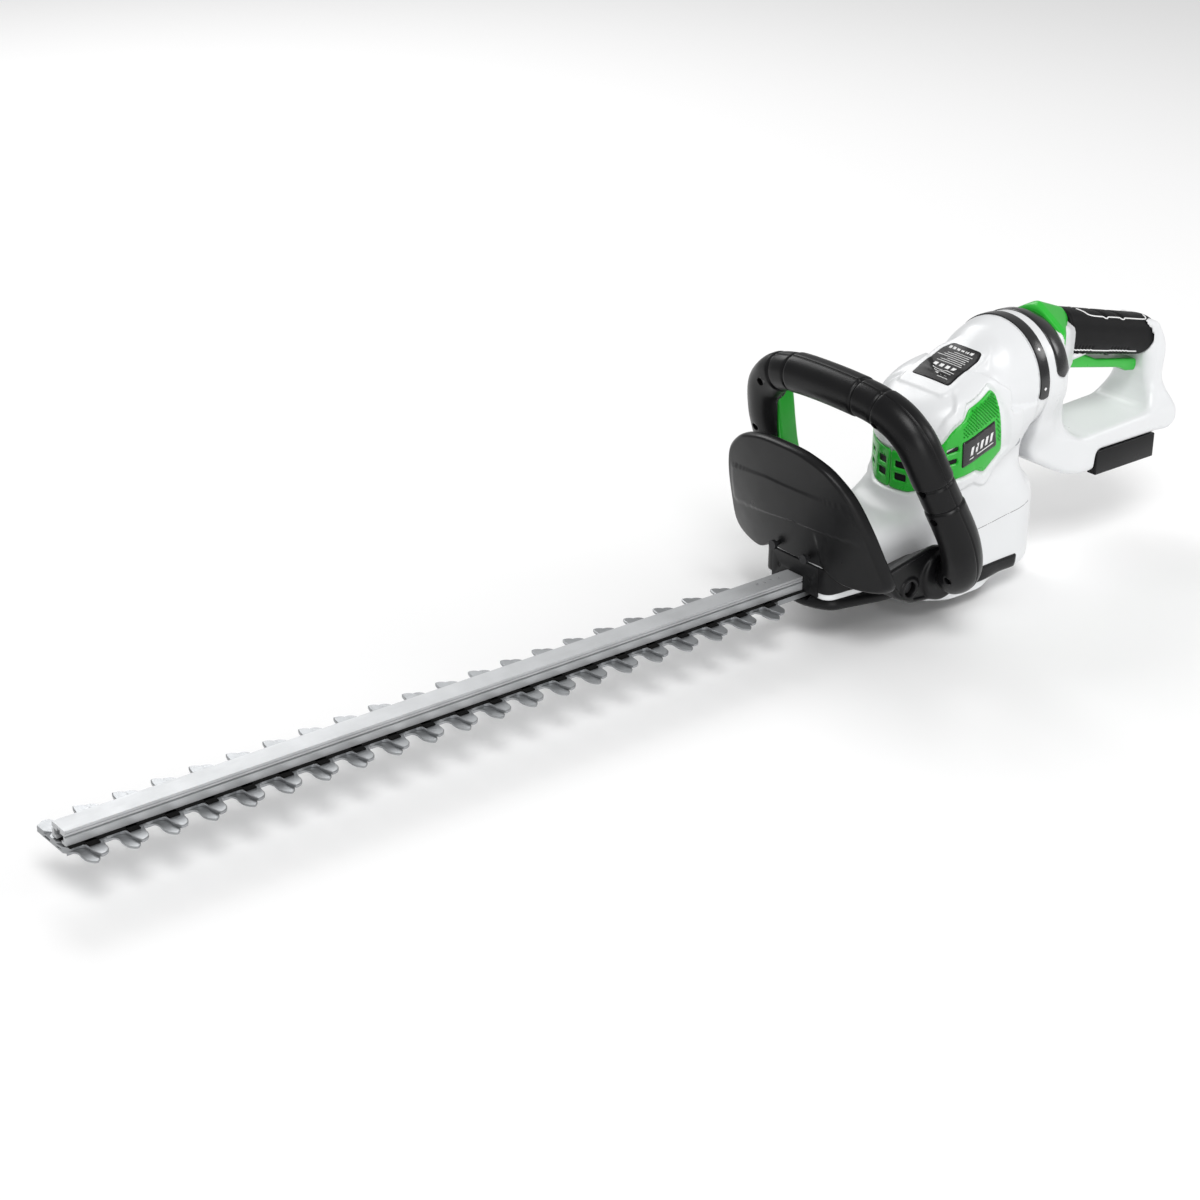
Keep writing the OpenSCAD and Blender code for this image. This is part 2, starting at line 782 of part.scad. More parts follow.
// The closed outer form of the rear handle, drawn in by i all round
module rear_form(i) {
    hull() {
        rod_x(hub_r - i, rear_x + i, 84, 0, hub_z, 48);
        balls(92, 22, 118, 12 - i);
        balls(100, 8, 148, 14 - i);
    }
    hull() {
        rod_x(hub_r - i, rear_x + i, 78, 0, hub_z, 48);
        balls(97, 20, 122, 7 - i);
        balls(80, 17, 81, 9 - i);
        balls(97, 19, 84, 8 - i);
    }
    hull() {
        balls(80, 18, 81, 9 - i);
        balls(108, foot_half_w - 7, 71, 7 - i);
        balls(112, foot_half_w - 9, 60, 9 - i);
        balls(104, foot_half_w - 9, 62, 9 - i);
    }
    hull() {
        balls(106, foot_half_w - 8, 70, 8 - i);
        balls(112, foot_half_w - 9, 61, 9 - i);
        balls(212, foot_half_w - 9, 72, 8 - i);
        balls(190, foot_half_w - 7, 71, 7 - i);
    }
    hull() {
        balls(205, 12, 74, 9 - i);
        balls(211, 15, 76, 9 - i);
        balls(203, 10, 105, 8 - i);
        balls(207, 7, 128, 10 - i);
    }
    grip_form(-i - 2.2);
}

// The rounded bar of the grip
module grip_form(grow) {
    hull() {
        rod_x(14.2 + grow, 100, 112, 4, 148.5, 40);
        rod_x(14.2 + grow, 100, 112, -4, 148.5, 40);
        rod_x(12 + grow, 196, 202, 4, 130, 40);
        rod_x(12 + grow, 196, 202, -4, 130, 40);
    }
}

module trigger_space() {
    side_plate([[108, 118], [108, 144], [196, 127], [196, 96]], 8.6);
}

module rear_half(side) {
    resize([0, 0, 0]) difference() {
        intersection() {
            rear_form(0);
            span([0, side > 0 ? 0 : -100, 0], [260, side > 0 ? 100 : 0, 220]);
        }
        rear_form(wall);
        rod_x(33.2, 40, rear_x + 6.2, 0, hub_z, 48);
        trigger_space();
        lock_form(0.4, 4);
        span([133, -foot_half_w - 1, 30], [205, foot_half_w + 1, 63.2]);
        ring_band_shape(0.1);
        grip_sleeve(0.1);
    }
}

module rear_handle_left() {
    color("white") rear_half(-1);
}

module rear_handle_right() {
    color("white") rear_half(1);
}

module rear_handle_screws() {
    color("silver") for (p = [[98, 100], [206, 92]]) {
        rod_y(1.5, -12, 12, p[0], p[1], 24);
    }
}

module grip_sleeve(extra) {
    difference() {
        intersection() {
            grip_form(0);
            side_plate([[112, 170], [109, 128], [188, 108], [204, 126], [201, 160]], 40);
        }
        grip_form(-2 - extra);
    }
}

module rubber_grip() {
    color("#171719") resize([0, 0, 0]) difference() {
        grip_sleeve(0);
        lock_form(0.4, 4);
        trigger_space();
        span([133, -foot_half_w - 1, 30], [205, foot_half_w + 1, 63.2]);
    }
}

// The black band over the top of the swivel ring
module ring_band_shape(extra) {
    intersection() {
        difference() {
            rod_x(hub_r + 0.5 + extra, 73 - extra, 84 + extra, 0, hub_z, fine);
            rod_x(hub_r - 1.6 - extra, 70, 90, 0, hub_z, fine);
        }
        span([60, -60, 124 - extra], [100, 60, 200]);
    }
}

module ring_band() {
    color("#171719") ring_band_shape(0);
}

// The button is a saddle over the neck of the handle
module lock_form(grow, drop) {
    hull() {
        span([84 - grow, -13 - grow, 165 - drop], [116 + grow, 13 + grow, 166]);
        span([87 - grow, -8 - grow, 168], [98 + grow, 8 + grow, 173 + grow]);
        span([96 - grow, -20 - grow, 153 - drop], [108 + grow, 20 + grow, 157]);
    }
}

module lock_button() {
    color("limegreen") lock_form(0, 0);
}

// A coil spring as a stack of rings joined by a post on one side
module spring(r, wire, height, turns) {
    for (i = [0 : turns - 1]) translate([0, 0, i * (height - wire) / (turns - 1)]) difference() {
        cylinder(r = r, h = wire, $fn = 32);
        translate([0, 0, -1]) cylinder(r = r - wire, h = wire + 2, $fn = 32);
    }
    span([r - wire, -wire / 2, 0], [r, wire / 2, height]);
}

module lock_spring() {
    color("silver") translate([101, 0, 142]) spring(4, 0.8, 9.9, 5);
}

module trigger() {
    color("limegreen") side_plate([
        [113, 123.5], [150, 115.5], [176, 110], [183, 106], [192, 104.5], [193.5, 108], [193, 113],
        [150, 122], [118, 137], [113, 137]
    ], 7.5);
}

module trigger_spring() {
    color("silver") translate([170, 0, 119.2]) spring(3, 0.7, 6, 4);
}

module trigger_switch() {
    color("#2a2a2c") span([136, -6, 130.5], [154, 6, 141]);
}

// The black foot: a battery slides onto its two rails from behind
module battery_foot() {
    w = foot_half_w;
    color("#141416") difference() {
        translate([137, 0, 45.5]) rotate([90, 0, 90]) linear_extrude(60) polygon([
            [-w, 0], [-w, 17.5], [w, 17.5], [w, 0], [w - 8, 0], [w - 8, 3], [w - 4.5, 3], [w - 4.5, 8],
            [-w + 4.5, 8], [-w + 4.5, 3], [-w + 8, 3], [-w + 8, 0]
        ]);
        span([150, -9, 40], [186, 9, 60]);
    }
}

module battery_contacts() {
    color("gold") for (y = [-6, -2, 2, 6]) span([160, y - 0.5, 49], [180, y + 0.5, 60]);
}

// ---------- what is shown ----------

support_bar();
upper_blade();
lower_blade();
guide_strip();
blade_bolts();
blade_bushes();
blade_nuts();
mount_block();
gear_case();
bottom_cover();
cover_screws();
crank();
drive_gear();
crank_bushes();
upper_rod();
lower_rod();
motor_screws();
pinion();
motor_shaft();
cooling_fan();
motor_can();
control_board();
housing_left();
housing_right();
housing_screws();
side_panel_left();
side_panel_right();
side_badge_left();
side_badge_right();
rating_label();
base_strip_left();
base_strip_right();
guard();
guard_screws();
handle_front();
handle_rear();
handle_screws();
bracket_left();
bracket_right();
bracket_screws();
safety_lever();
safety_switch();
index_ring();
swivel_hub();
rear_handle_left();
rear_handle_right();
rear_handle_screws();
rubber_grip();
ring_band();
lock_button();
lock_spring();
trigger();
trigger_spring();
trigger_switch();
battery_foot();
battery_contacts();
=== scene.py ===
import json
import math

import bmesh
import bpy
import numpy as np
from mathutils import Matrix, Vector
from mathutils.geometry import delaunay_2d_cdt


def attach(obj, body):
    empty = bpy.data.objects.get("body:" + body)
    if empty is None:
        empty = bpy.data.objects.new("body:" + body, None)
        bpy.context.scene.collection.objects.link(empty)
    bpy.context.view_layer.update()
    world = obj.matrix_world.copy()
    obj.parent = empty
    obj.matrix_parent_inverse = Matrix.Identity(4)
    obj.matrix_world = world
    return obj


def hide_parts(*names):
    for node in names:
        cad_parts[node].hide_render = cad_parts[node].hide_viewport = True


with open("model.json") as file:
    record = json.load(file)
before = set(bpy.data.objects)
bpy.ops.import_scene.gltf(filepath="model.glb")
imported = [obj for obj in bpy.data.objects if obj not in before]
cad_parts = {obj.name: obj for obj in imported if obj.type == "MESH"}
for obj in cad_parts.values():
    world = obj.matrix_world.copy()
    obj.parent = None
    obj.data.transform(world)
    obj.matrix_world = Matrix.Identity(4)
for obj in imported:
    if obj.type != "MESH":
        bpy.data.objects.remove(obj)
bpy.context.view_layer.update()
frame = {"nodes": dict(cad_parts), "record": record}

scene = bpy.context.scene
mm = 0.001  # every shape below is worked out in millimetres and put down in metres


# tools for building meshes

def addPiece(name, points, faces, material, body="body", stands=(), finish=None, smooth=True):
    mesh = bpy.data.meshes.new(name)
    mesh.from_pydata([tuple(p) for p in np.asarray(points, dtype=float) * mm], [], [tuple(f) for f in faces])
    mesh.validate()
    mesh.materials.append(material)
    mesh.polygons.foreach_set("use_smooth", [smooth] * len(mesh.polygons))
    obj = bpy.data.objects.new(name, mesh)
    scene.collection.objects.link(obj)
    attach(obj, body)
    if stands:
        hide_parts(*stands)
    return obj


def joinSmooth(a, b, k):  # union of two fields with a fillet about k wide
    h = np.maximum(k - np.abs(a - b), 0) / k
    return np.minimum(a, b) - h * h * k * 0.25


def meetSmooth(a, b, k):  # what two fields share, with a rounded edge
    return -joinSmooth(-a, -b, k)


def cutSmooth(a, b, k):  # a less b
    return -joinSmooth(-a, b, k)


def boxField(x, y, z, low, high, r):
    q = [np.abs(p - (a + b) / 2) - (b - a) / 2 + r for p, a, b in zip((x, y, z), low, high)]
    outside = np.sqrt(sum(np.maximum(v, 0) ** 2 for v in q))
    return outside + np.minimum(np.maximum(np.maximum(q[0], q[1]), q[2]), 0) - r


def rodField(along, u, v, start, end, radius, r):  # a round bar with rounded ends
    return meetSmooth(np.hypot(u, v) - radius, np.abs(along - (start + end) / 2) - (end - start) / 2, r)


def capsuleField(x, y, z, a, b, ra, rb):
    a, b = np.array(a, float), np.array(b, float)
    d = b - a
    t = np.clip(((x - a[0]) * d[0] + (y - a[1]) * d[1] + (z - a[2]) * d[2]) / d.dot(d), 0, 1)
    gap = (x - a[0] - t * d[0]) ** 2 + (y - a[1] - t * d[1]) ** 2 + (z - a[2] - t * d[2]) ** 2
    return np.sqrt(gap) - ra - (rb - ra) * t


def outlineField(u, v, points):  # signed distance to a flat outline, negative inside
    best = np.full(np.broadcast(u, v).shape, 1e9)
    inside = np.zeros(best.shape, bool)
    for (au, av), (bu, bv) in zip(points, points[1:] + points[:1]):
        du, dv = bu - au, bv - av
        t = np.clip(((u - au) * du + (v - av) * dv) / (du * du + dv * dv), 0, 1)
        best = np.minimum(best, (u - au - t * du) ** 2 + (v - av - t * dv) ** 2)
        if av != bv:
            inside ^= ((av > v) != (bv > v)) & (u < (bu - au) * (v - av) / (bv - av) + au)
    return np.where(inside, -1, 1) * np.sqrt(best)


def fieldSlope(field, p, h=0.25):
    steps = np.eye(3) * h
    return np.stack([(field(*(p + s).T) - field(*(p - s).T)) / (2 * h) for s in steps], axis=1)


def settle(field, p, level=0.0, rounds=3, reach=1.5):  # moves points onto a field's surface
    for _ in range(rounds):
        slope = fieldSlope(field, p)
        size = np.maximum((slope ** 2).sum(axis=1), 1e-6)
        step = (field(*p.T) - level) / size
        p = p - slope * np.clip(step, -reach, reach)[:, None]
    return p


def meshField(field, low, high, cell):  # a closed mesh of quads where the field is zero
    axes = [np.arange(a, b + cell, cell) for a, b in zip(low, high)]
    value = field(*np.meshgrid(*axes, indexing="ij", sparse=True))
    inside = value < 0
    n = [s - 1 for s in inside.shape]
    corners = [(i, j, k) for i in (0, 1) for j in (0, 1) for k in (0, 1)]
    filled = sum(inside[i:i + n[0], j:j + n[1], k:k + n[2]].astype(np.int8) for i, j, k in corners)
    active = (filled > 0) & (filled < 8)
    cells = np.argwhere(active)
    total, count = np.zeros((len(cells), 3)), np.zeros(len(cells))
    for a in corners:
        for axis in range(3):
            if a[axis]:
                continue
            step = np.eye(3, dtype=int)[axis]
            va = value[tuple((cells + a).T)]
            vb = value[tuple((cells + a + step).T)]
            crossed = (va < 0) != (vb < 0)
            t = np.where(crossed, va / np.where(crossed, va - vb, 1), 0)
            total += crossed[:, None] * (np.array(a) + t[:, None] * step)
            count += crossed
    points = np.array(low) + cell * (cells + total / count[:, None])
    index = np.full(active.shape, -1)
    index[active] = np.arange(len(cells))
    faces = []
    for axis in range(3):
        u, v = np.eye(3, dtype=int)[(axis + 1) % 3], np.eye(3, dtype=int)[(axis + 2) % 3]
        step = np.eye(3, dtype=int)[axis]
        size = np.array(inside.shape) - step
        first = inside[tuple(slice(0, s) for s in size)]
        second = inside[tuple(slice(s, s + w) for s, w in zip(step, size))]
        at = np.argwhere(first != second)
        at = at[(at[:, (axis + 1) % 3] > 0) & (at[:, (axis + 2) % 3] > 0)]
        at = at[(at <= np.array(n) - 1).all(axis=1)]
        ring = np.stack([index[tuple((at - o).T)] for o in (u + v, v, 0 * u, u)], axis=1)
        outward = inside[tuple(at.T)]
        faces.append(np.where(outward[:, None], ring, ring[:, ::-1]))
    return settle(field, points, rounds=2, reach=cell), np.concatenate(faces)


def sweepRings(rings, closedRing=True, caps=True):  # rings of points joined into a skin
    rings = np.asarray(rings, dtype=float)
    m, n = rings.shape[:2]
    points = rings.reshape(-1, 3)
    faces = []
    for i in range(m - 1):
        for k in range(n if closedRing else n - 1):
            k2 = (k + 1) % n
            faces.append((i * n + k, i * n + k2, (i + 1) * n + k2, (i + 1) * n + k))
    if caps and closedRing:
        faces.append(tuple(range(n - 1, -1, -1)))
        faces.append(tuple((m - 1) * n + k for k in range(n)))
    return points, faces


def tidyNormals(obj):
    work = bmesh.new()
    work.from_mesh(obj.data)
    bmesh.ops.remove_doubles(work, verts=work.verts, dist=1e-6)
    bmesh.ops.recalc_face_normals(work, faces=work.faces)
    work.to_mesh(obj.data)
    work.free()
    return obj


# materials: each has its own colour drift, grain and wear

def newMaterial(name):
    material = bpy.data.materials.new(name)
    material.use_nodes = True
    tree = material.node_tree
    return material, tree, tree.nodes["Principled BSDF"]


def noiseNode(tree, scale, detail=4.0, rough=0.55, stretch=None):
    coords = tree.nodes.new("ShaderNodeTexCoord")
    source = coords.outputs["Object"]
    if stretch:
        mapping = tree.nodes.new("ShaderNodeMapping")
        mapping.inputs["Scale"].default_value = stretch
        tree.links.new(source, mapping.inputs["Vector"])
        source = mapping.outputs["Vector"]
    noise = tree.nodes.new("ShaderNodeTexNoise")
    noise.inputs["Scale"].default_value = scale
    noise.inputs["Detail"].default_value = detail
    noise.inputs["Roughness"].default_value = rough
    tree.links.new(source, noise.inputs["Vector"])
    return noise.outputs["Fac"]


def rampNode(tree, fac, stops):
    ramp = tree.nodes.new("ShaderNodeValToRGB")
    while len(ramp.color_ramp.elements) < len(stops):
        ramp.color_ramp.elements.new(0.5)
    for element, (at, colour) in zip(ramp.color_ramp.elements, stops):
        element.position = at
        element.color = (*colour, 1)
    tree.links.new(fac, ramp.inputs["Fac"])
    return ramp.outputs["Color"]


def mathNode(tree, operation, a, b=None, c=None, clamp=False):
    node = tree.nodes.new("ShaderNodeMath")
    node.operation = operation
    node.use_clamp = clamp
    for socket, value in zip(node.inputs, (a, b, c)):
        if value is None:
            continue
        if isinstance(value, (int, float)):
            socket.default_value = value
        else:
            tree.links.new(value, socket)
    return node.outputs[0]


def mapRange(tree, value, low, high, toLow, toHigh):
    node = tree.nodes.new("ShaderNodeMapRange")
    tree.links.new(value, node.inputs["Value"])
    for key, number in (("From Min", low), ("From Max", high), ("To Min", toLow), ("To Max", toHigh)):
        node.inputs[key].default_value = number
    return node.outputs["Result"]


def mixColour(tree, fac, a, b):
    node = tree.nodes.new("ShaderNodeMix")
    node.data_type = "RGBA"
    tree.links.new(fac, node.inputs["Factor"])
    for socket, value in ((node.inputs[6], a), (node.inputs[7], b)):
        if isinstance(value, tuple):
            socket.default_value = (*value, 1)
        else:
            tree.links.new(value, socket)
    return node.outputs[2]


def bumpNode(tree, shader, height, strength, distance=0.0004, under=None):
    bump = tree.nodes.new("ShaderNodeBump")
    bump.inputs["Strength"].default_value = strength
    bump.inputs["Distance"].default_value = distance
    tree.links.new(height, bump.inputs["Height"])
    if under:
        tree.links.new(under, bump.inputs["Normal"])
    tree.links.new(bump.outputs["Normal"], shader.inputs["Normal"])
    return bump.outputs["Normal"]


def edgeWear(tree, base, worn, amount):  # paler along edges, where hands and tools rub
    geometry = tree.nodes.new("ShaderNodeNewGeometry")
    edge = mapRange(tree, geometry.outputs["Pointiness"], 0.52, 0.62, 0.0, amount)
    broken = mathNode(tree, "MULTIPLY", edge, noiseNode(tree, 220.0), clamp=True)
    return mixColour(tree, broken, base, worn)


def plasticMaterial(name, colour, roughness, grain=1400.0, grainDepth=0.12, drift=0.06, worn=None,
                    coat=0.0, gloss=0.5):
    material, tree, shader = newMaterial(name)
    dark = tuple(c * (1 - drift) for c in colour)
    light = tuple(min(1.0, c * (1 + drift)) for c in colour)
    tint = rampNode(tree, noiseNode(tree, 14.0, 3.0), [(0.3, dark), (0.7, light)])
    tint = edgeWear(tree, tint, worn or light, 0.5)
    tree.links.new(tint, shader.inputs["Base Color"])
    rough = mapRange(tree, noiseNode(tree, 60.0, 5.0), 0.25, 0.75, roughness - 0.06, roughness + 0.08)
    tree.links.new(rough, shader.inputs["Roughness"])
    shader.inputs["Coat Weight"].default_value = coat
    shader.inputs["Coat Roughness"].default_value = 0.2
    shader.inputs["Specular IOR Level"].default_value = gloss
    bumpNode(tree, shader, noiseNode(tree, grain, 2.0), grainDepth)
    return material


def metalMaterial(name, colour, roughness, stretch=(1.0, 1.0, 1.0), grain=900.0, depth=0.1, metallic=0.75):
    material, tree, shader = newMaterial(name)
    lines = noiseNode(tree, grain, 3.0, 0.6, stretch)
    dark = tuple(c * 0.86 for c in colour)
    light = tuple(min(1.0, c * 1.1) for c in colour)
    tint = rampNode(tree, noiseNode(tree, 30.0, 4.0), [(0.3, dark), (0.7, light)])
    tree.links.new(edgeWear(tree, tint, light, 0.4), shader.inputs["Base Color"])
    tree.links.new(mapRange(tree, lines, 0.2, 0.8, roughness - 0.08, roughness + 0.1),
                   shader.inputs["Roughness"])
    shader.inputs["Metallic"].default_value = metallic
    bumpNode(tree, shader, lines, depth)
    return material


finishes = {
    "white": (0.74, 0.75, 0.76), "green": (0.018, 0.46, 0.03), "black": (0.005, 0.005, 0.0055),
    "steel": (0.33, 0.34, 0.35), "aluminium": (0.50, 0.51, 0.52),
}
whiteShell = plasticMaterial("white_shell", finishes["white"], 0.32, 1800.0, 0.05, 0.015,
                             (0.86, 0.86, 0.86), 0.15)
greenPlastic = plasticMaterial("green_plastic", finishes["green"], 0.30, 1500.0, 0.06, 0.08,
                               (0.05, 0.5, 0.06), 0.1)
blackPlastic = plasticMaterial("black_plastic", finishes["black"], 0.32, 1600.0, 0.14, 0.2,
                               (0.02, 0.02, 0.022), gloss=0.22)
blackGloss = plasticMaterial("black_gloss", (0.008, 0.008, 0.009), 0.22, 1200.0, 0.04, 0.15,
                             (0.03, 0.03, 0.03), 0.3)
blackRubber = plasticMaterial("grip_rubber", (0.006, 0.006, 0.0065), 0.5, 2200.0, 0.3, 0.15,
                              (0.022, 0.022, 0.023), gloss=0.15)
# darker green for the studs: painted shade, standing in for the shadow in the hollows between them
greenStudPaintedShade = plasticMaterial("green_stud_painted_shade", (0.010, 0.26, 0.018), 0.4, 1500.0, 0.05, 0.05)
# near black with almost no gloss: the strip's own black plus painted shade for the shadow gap under the bar
wearStripPaintedShade = plasticMaterial("wear_strip", (0.004, 0.004, 0.004), 0.75, 1500.0, 0.15, 0.1,
                            (0.02, 0.02, 0.02), gloss=0.05)
whiteMark = plasticMaterial("white_mark", (0.82, 0.82, 0.82), 0.5, 1500.0, 0.03, 0.05)
seamGrey = plasticMaterial("seam_grey", (0.16, 0.16, 0.165), 0.6, 1500.0, 0.03, 0.05)
innerPlastic = plasticMaterial("inner_plastic", (0.03, 0.03, 0.033), 0.5, 1500.0, 0.1, 0.1)
boardGreen = plasticMaterial("board", (0.01, 0.10, 0.04), 0.4, 900.0, 0.1, 0.2)
bladeSteel = metalMaterial("blade_steel", finishes["steel"], 0.34, (1.0, 0.12, 1.0), 2600.0, 0.12)
barAlloy = metalMaterial("bar_alloy", finishes["aluminium"], 0.45, (0.03, 1.0, 1.0), 2600.0, 0.03, 0.5)
fixingSteel = metalMaterial("fixing_steel", (0.45, 0.46, 0.48), 0.3)
gearSteel = metalMaterial("gear_steel", (0.30, 0.31, 0.33), 0.35)
bearingBronze = metalMaterial("bearing_bronze", (0.52, 0.33, 0.14), 0.35)
caseCasting = metalMaterial("case_casting", (0.42, 0.43, 0.44), 0.5, grain=500.0, depth=0.4)
motorMetal = metalMaterial("motor_metal", (0.20, 0.21, 0.23), 0.4, metallic=0.8)
blackScrew = metalMaterial("black_screw", (0.03, 0.03, 0.032), 0.35, metallic=0.6)
springSteel = metalMaterial("spring_steel", (0.45, 0.45, 0.47), 0.3)
contactBrass = metalMaterial("contact_brass", (0.60, 0.42, 0.16), 0.3)

slotMaterials = {
    "bar_alloy": barAlloy, "blade_steel": bladeSteel, "wear_strip": wearStripPaintedShade, "fixing_steel": fixingSteel,
    "bearing_bronze": bearingBronze, "gear_steel": gearSteel, "case_casting": caseCasting,
    "white_shell": whiteShell, "green_plastic": greenPlastic, "black_plastic": blackPlastic,
    "black_screw": blackScrew, "grip_rubber": blackRubber, "badge_black": blackGloss,
    "motor_metal": motorMetal,
    "inner_plastic": innerPlastic, "board": boardGreen, "spring_steel": springSteel,
    "contact_brass": contactBrass,
}
for subpart in frame["record"]["subparts"]:
    node = frame["nodes"][subpart["node"]]
    node.data.materials.clear()
    node.data.materials.append(slotMaterials[subpart["material_slot"]])
print("materials done")


# geometry node trees for shapes that repeat

def newTree(name, sockets):
    tree = bpy.data.node_groups.new(name, "GeometryNodeTree")
    tree.interface.new_socket("Geometry", in_out="INPUT", socket_type="NodeSocketGeometry")
    for label, kind in sockets:
        tree.interface.new_socket(label, in_out="INPUT", socket_type="NodeSocket" + kind)
    tree.interface.new_socket("Material", in_out="INPUT", socket_type="NodeSocketMaterial")
    tree.interface.new_socket("Geometry", in_out="OUTPUT", socket_type="NodeSocketGeometry")
    return tree, tree.nodes.new("NodeGroupInput").outputs, tree.nodes.new("NodeGroupOutput")


def addNode(tree, kind, links=None, **settings):
    node = tree.nodes.new(kind)
    for key, value in settings.items():
        setattr(node, key, value)
    for key, value in (links or {}).items():
        if isinstance(value, bpy.types.NodeSocket):
            tree.links.new(value, node.inputs[key])
        else:
            node.inputs[key].default_value = value
    return node


def endTree(tree, given, end, geometry):
    real = addNode(tree, "GeometryNodeRealizeInstances", {0: geometry})
    paint = addNode(tree, "GeometryNodeSetMaterial",
                    {"Geometry": real.outputs[0], "Material": given["Material"]})
    tree.links.new(paint.outputs[0], end.inputs[0])
    return tree


def facingPoints(tree, given, shape):  # a copy of shape on every point, turned to its facing
    facing = addNode(tree, "GeometryNodeInputNamedAttribute", {"Name": "facing"}, data_type="FLOAT_VECTOR")
    turned = addNode(tree, "FunctionNodeAlignRotationToVector", {"Vector": facing.outputs[0]}, axis="Z")
    return addNode(tree, "GeometryNodeInstanceOnPoints", {
        "Points": given["Geometry"], "Instance": shape, "Rotation": turned.outputs[0]
    }).outputs[0]


def studTree():  # small low pyramids
    tree, given, end = newTree("studs", [("Radius", "Float"), ("Height", "Float")])
    cone = addNode(tree, "GeometryNodeMeshCone", {
        "Vertices": 4, "Radius Top": 0.0, "Radius Bottom": given["Radius"], "Depth": given["Height"]
    })
    return endTree(tree, given, end, facingPoints(tree, given, cone.outputs[0]))


def screwTree():  # round heads with a cross recess
    tree, given, end = newTree("screw heads", [("Radius", "Float"), ("Height", "Float"), ("Slot", "Float")])
    head = addNode(tree, "GeometryNodeMeshCylinder",
                   {"Vertices": 28, "Radius": given["Radius"], "Depth": given["Height"]})
    length = addNode(tree, "ShaderNodeMath", {0: given["Radius"], 1: 1.3}, operation="MULTIPLY")
    lift = addNode(tree, "ShaderNodeCombineXYZ", {"Z": given["Height"]})
    cutters = []
    for sides in ((length.outputs[0], given["Slot"]), (given["Slot"], length.outputs[0])):
        size = addNode(tree, "ShaderNodeCombineXYZ", {"X": sides[0], "Y": sides[1], "Z": given["Height"]})
        box = addNode(tree, "GeometryNodeMeshCube", {"Size": size.outputs[0]})
        move = addNode(tree, "GeometryNodeTransform", {"Geometry": box.outputs[0]})
        half = addNode(tree, "ShaderNodeVectorMath", {0: lift.outputs[0], "Scale": 0.55}, operation="SCALE")
        tree.links.new(half.outputs[0], move.inputs["Translation"])
        cutters.append(move.outputs[0])
    cross = addNode(tree, "GeometryNodeMeshBoolean", {0: head.outputs[0]}, operation="DIFFERENCE")
    for cutter in cutters:
        tree.links.new(cutter, cross.inputs[1])
    return endTree(tree, given, end, facingPoints(tree, given, cross.outputs[0]))


def rowTree():  # the given shape over and over along x
    tree, given, end = newTree("row", [("Count", "Int"), ("Pitch", "Float")])
    step = addNode(tree, "ShaderNodeCombineXYZ", {"X": given["Pitch"]})
    line = addNode(tree, "GeometryNodeMeshLine", {"Count": given["Count"], "Offset": step.outputs[0]})
    row = addNode(tree, "GeometryNodeInstanceOnPoints",
                  {"Points": line.outputs[0], "Instance": given["Geometry"]})
    return endTree(tree, given, end, row.outputs[0])


trees = {"studs": studTree(), "screws": screwTree(), "row": rowTree()}


def growPiece(name, tree, part, values, material, body="body", facing=None, smooth=False):
    mesh = bpy.data.meshes.new(name)
    mesh.from_pydata([tuple(p) for p in np.asarray(part[0], float) * mm], [], [tuple(f) for f in part[1]])
    if facing is not None:
        mesh.attributes.new("facing", "FLOAT_VECTOR", "POINT").data.foreach_set("vector", np.ravel(facing))
    obj = bpy.data.objects.new(name, mesh)
    scene.collection.objects.link(obj)
    grow = obj.modifiers.new("grow", "NODES")
    grow.node_group = trees[tree]
    values = dict(values, Material=material)
    for item in trees[tree].interface.items_tree:
        if item.in_out == "INPUT" and item.name in values:
            grow[item.identifier] = values[item.name]
    bakeModifiers(obj)
    if facing is not None and "facing" in obj.data.attributes:
        obj.data.attributes.remove(obj.data.attributes["facing"])
    obj.data.polygons.foreach_set("use_smooth", [smooth] * len(obj.data.polygons))
    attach(obj, body)
    return obj


def bakeModifiers(obj):
    bpy.context.view_layer.update()
    done = obj.evaluated_get(bpy.context.evaluated_depsgraph_get())
    mesh = bpy.data.meshes.new_from_object(done)
    obj.modifiers.clear()
    old = obj.data
    obj.data = mesh
    mesh.name = obj.name
    bpy.data.meshes.remove(old)


# main housing

housing = {
    "barrelR": 38.0, "hubR": 40.0, "hubZ": 130.0, "hubEnd": 57.0, "cell": 1.1,
}


def axisAngle(x, y):  # degrees round the barrel from its front, the same on both sides
    return np.degrees(np.arctan2(np.abs(y), -x))


panelOutline = [  # degrees from the front, height
    (-30, 99), (4, 98.5), (37, 99.5), (54, 108), (65, 118.5), (75, 123.5), (81, 131.5), (116, 139.5),
    (121, 134),
    (130, 96), (106, 83), (93, 87), (73, 84.5), (23, 73.5), (-30, 73.5)
]
labelOutline = [(-9.5, -17), (-9.5, 17), (22, 16.5), (29, 13.5), (32.5, 7), (32.5, -7), (29, -13.5),
                (22, -16.5)]


def fall(d, start, end):  # 1 where d is below start, 0 past end
    t = np.clip((end - d) / (end - start), 0, 1)
    return t * t * (3 - 2 * t)


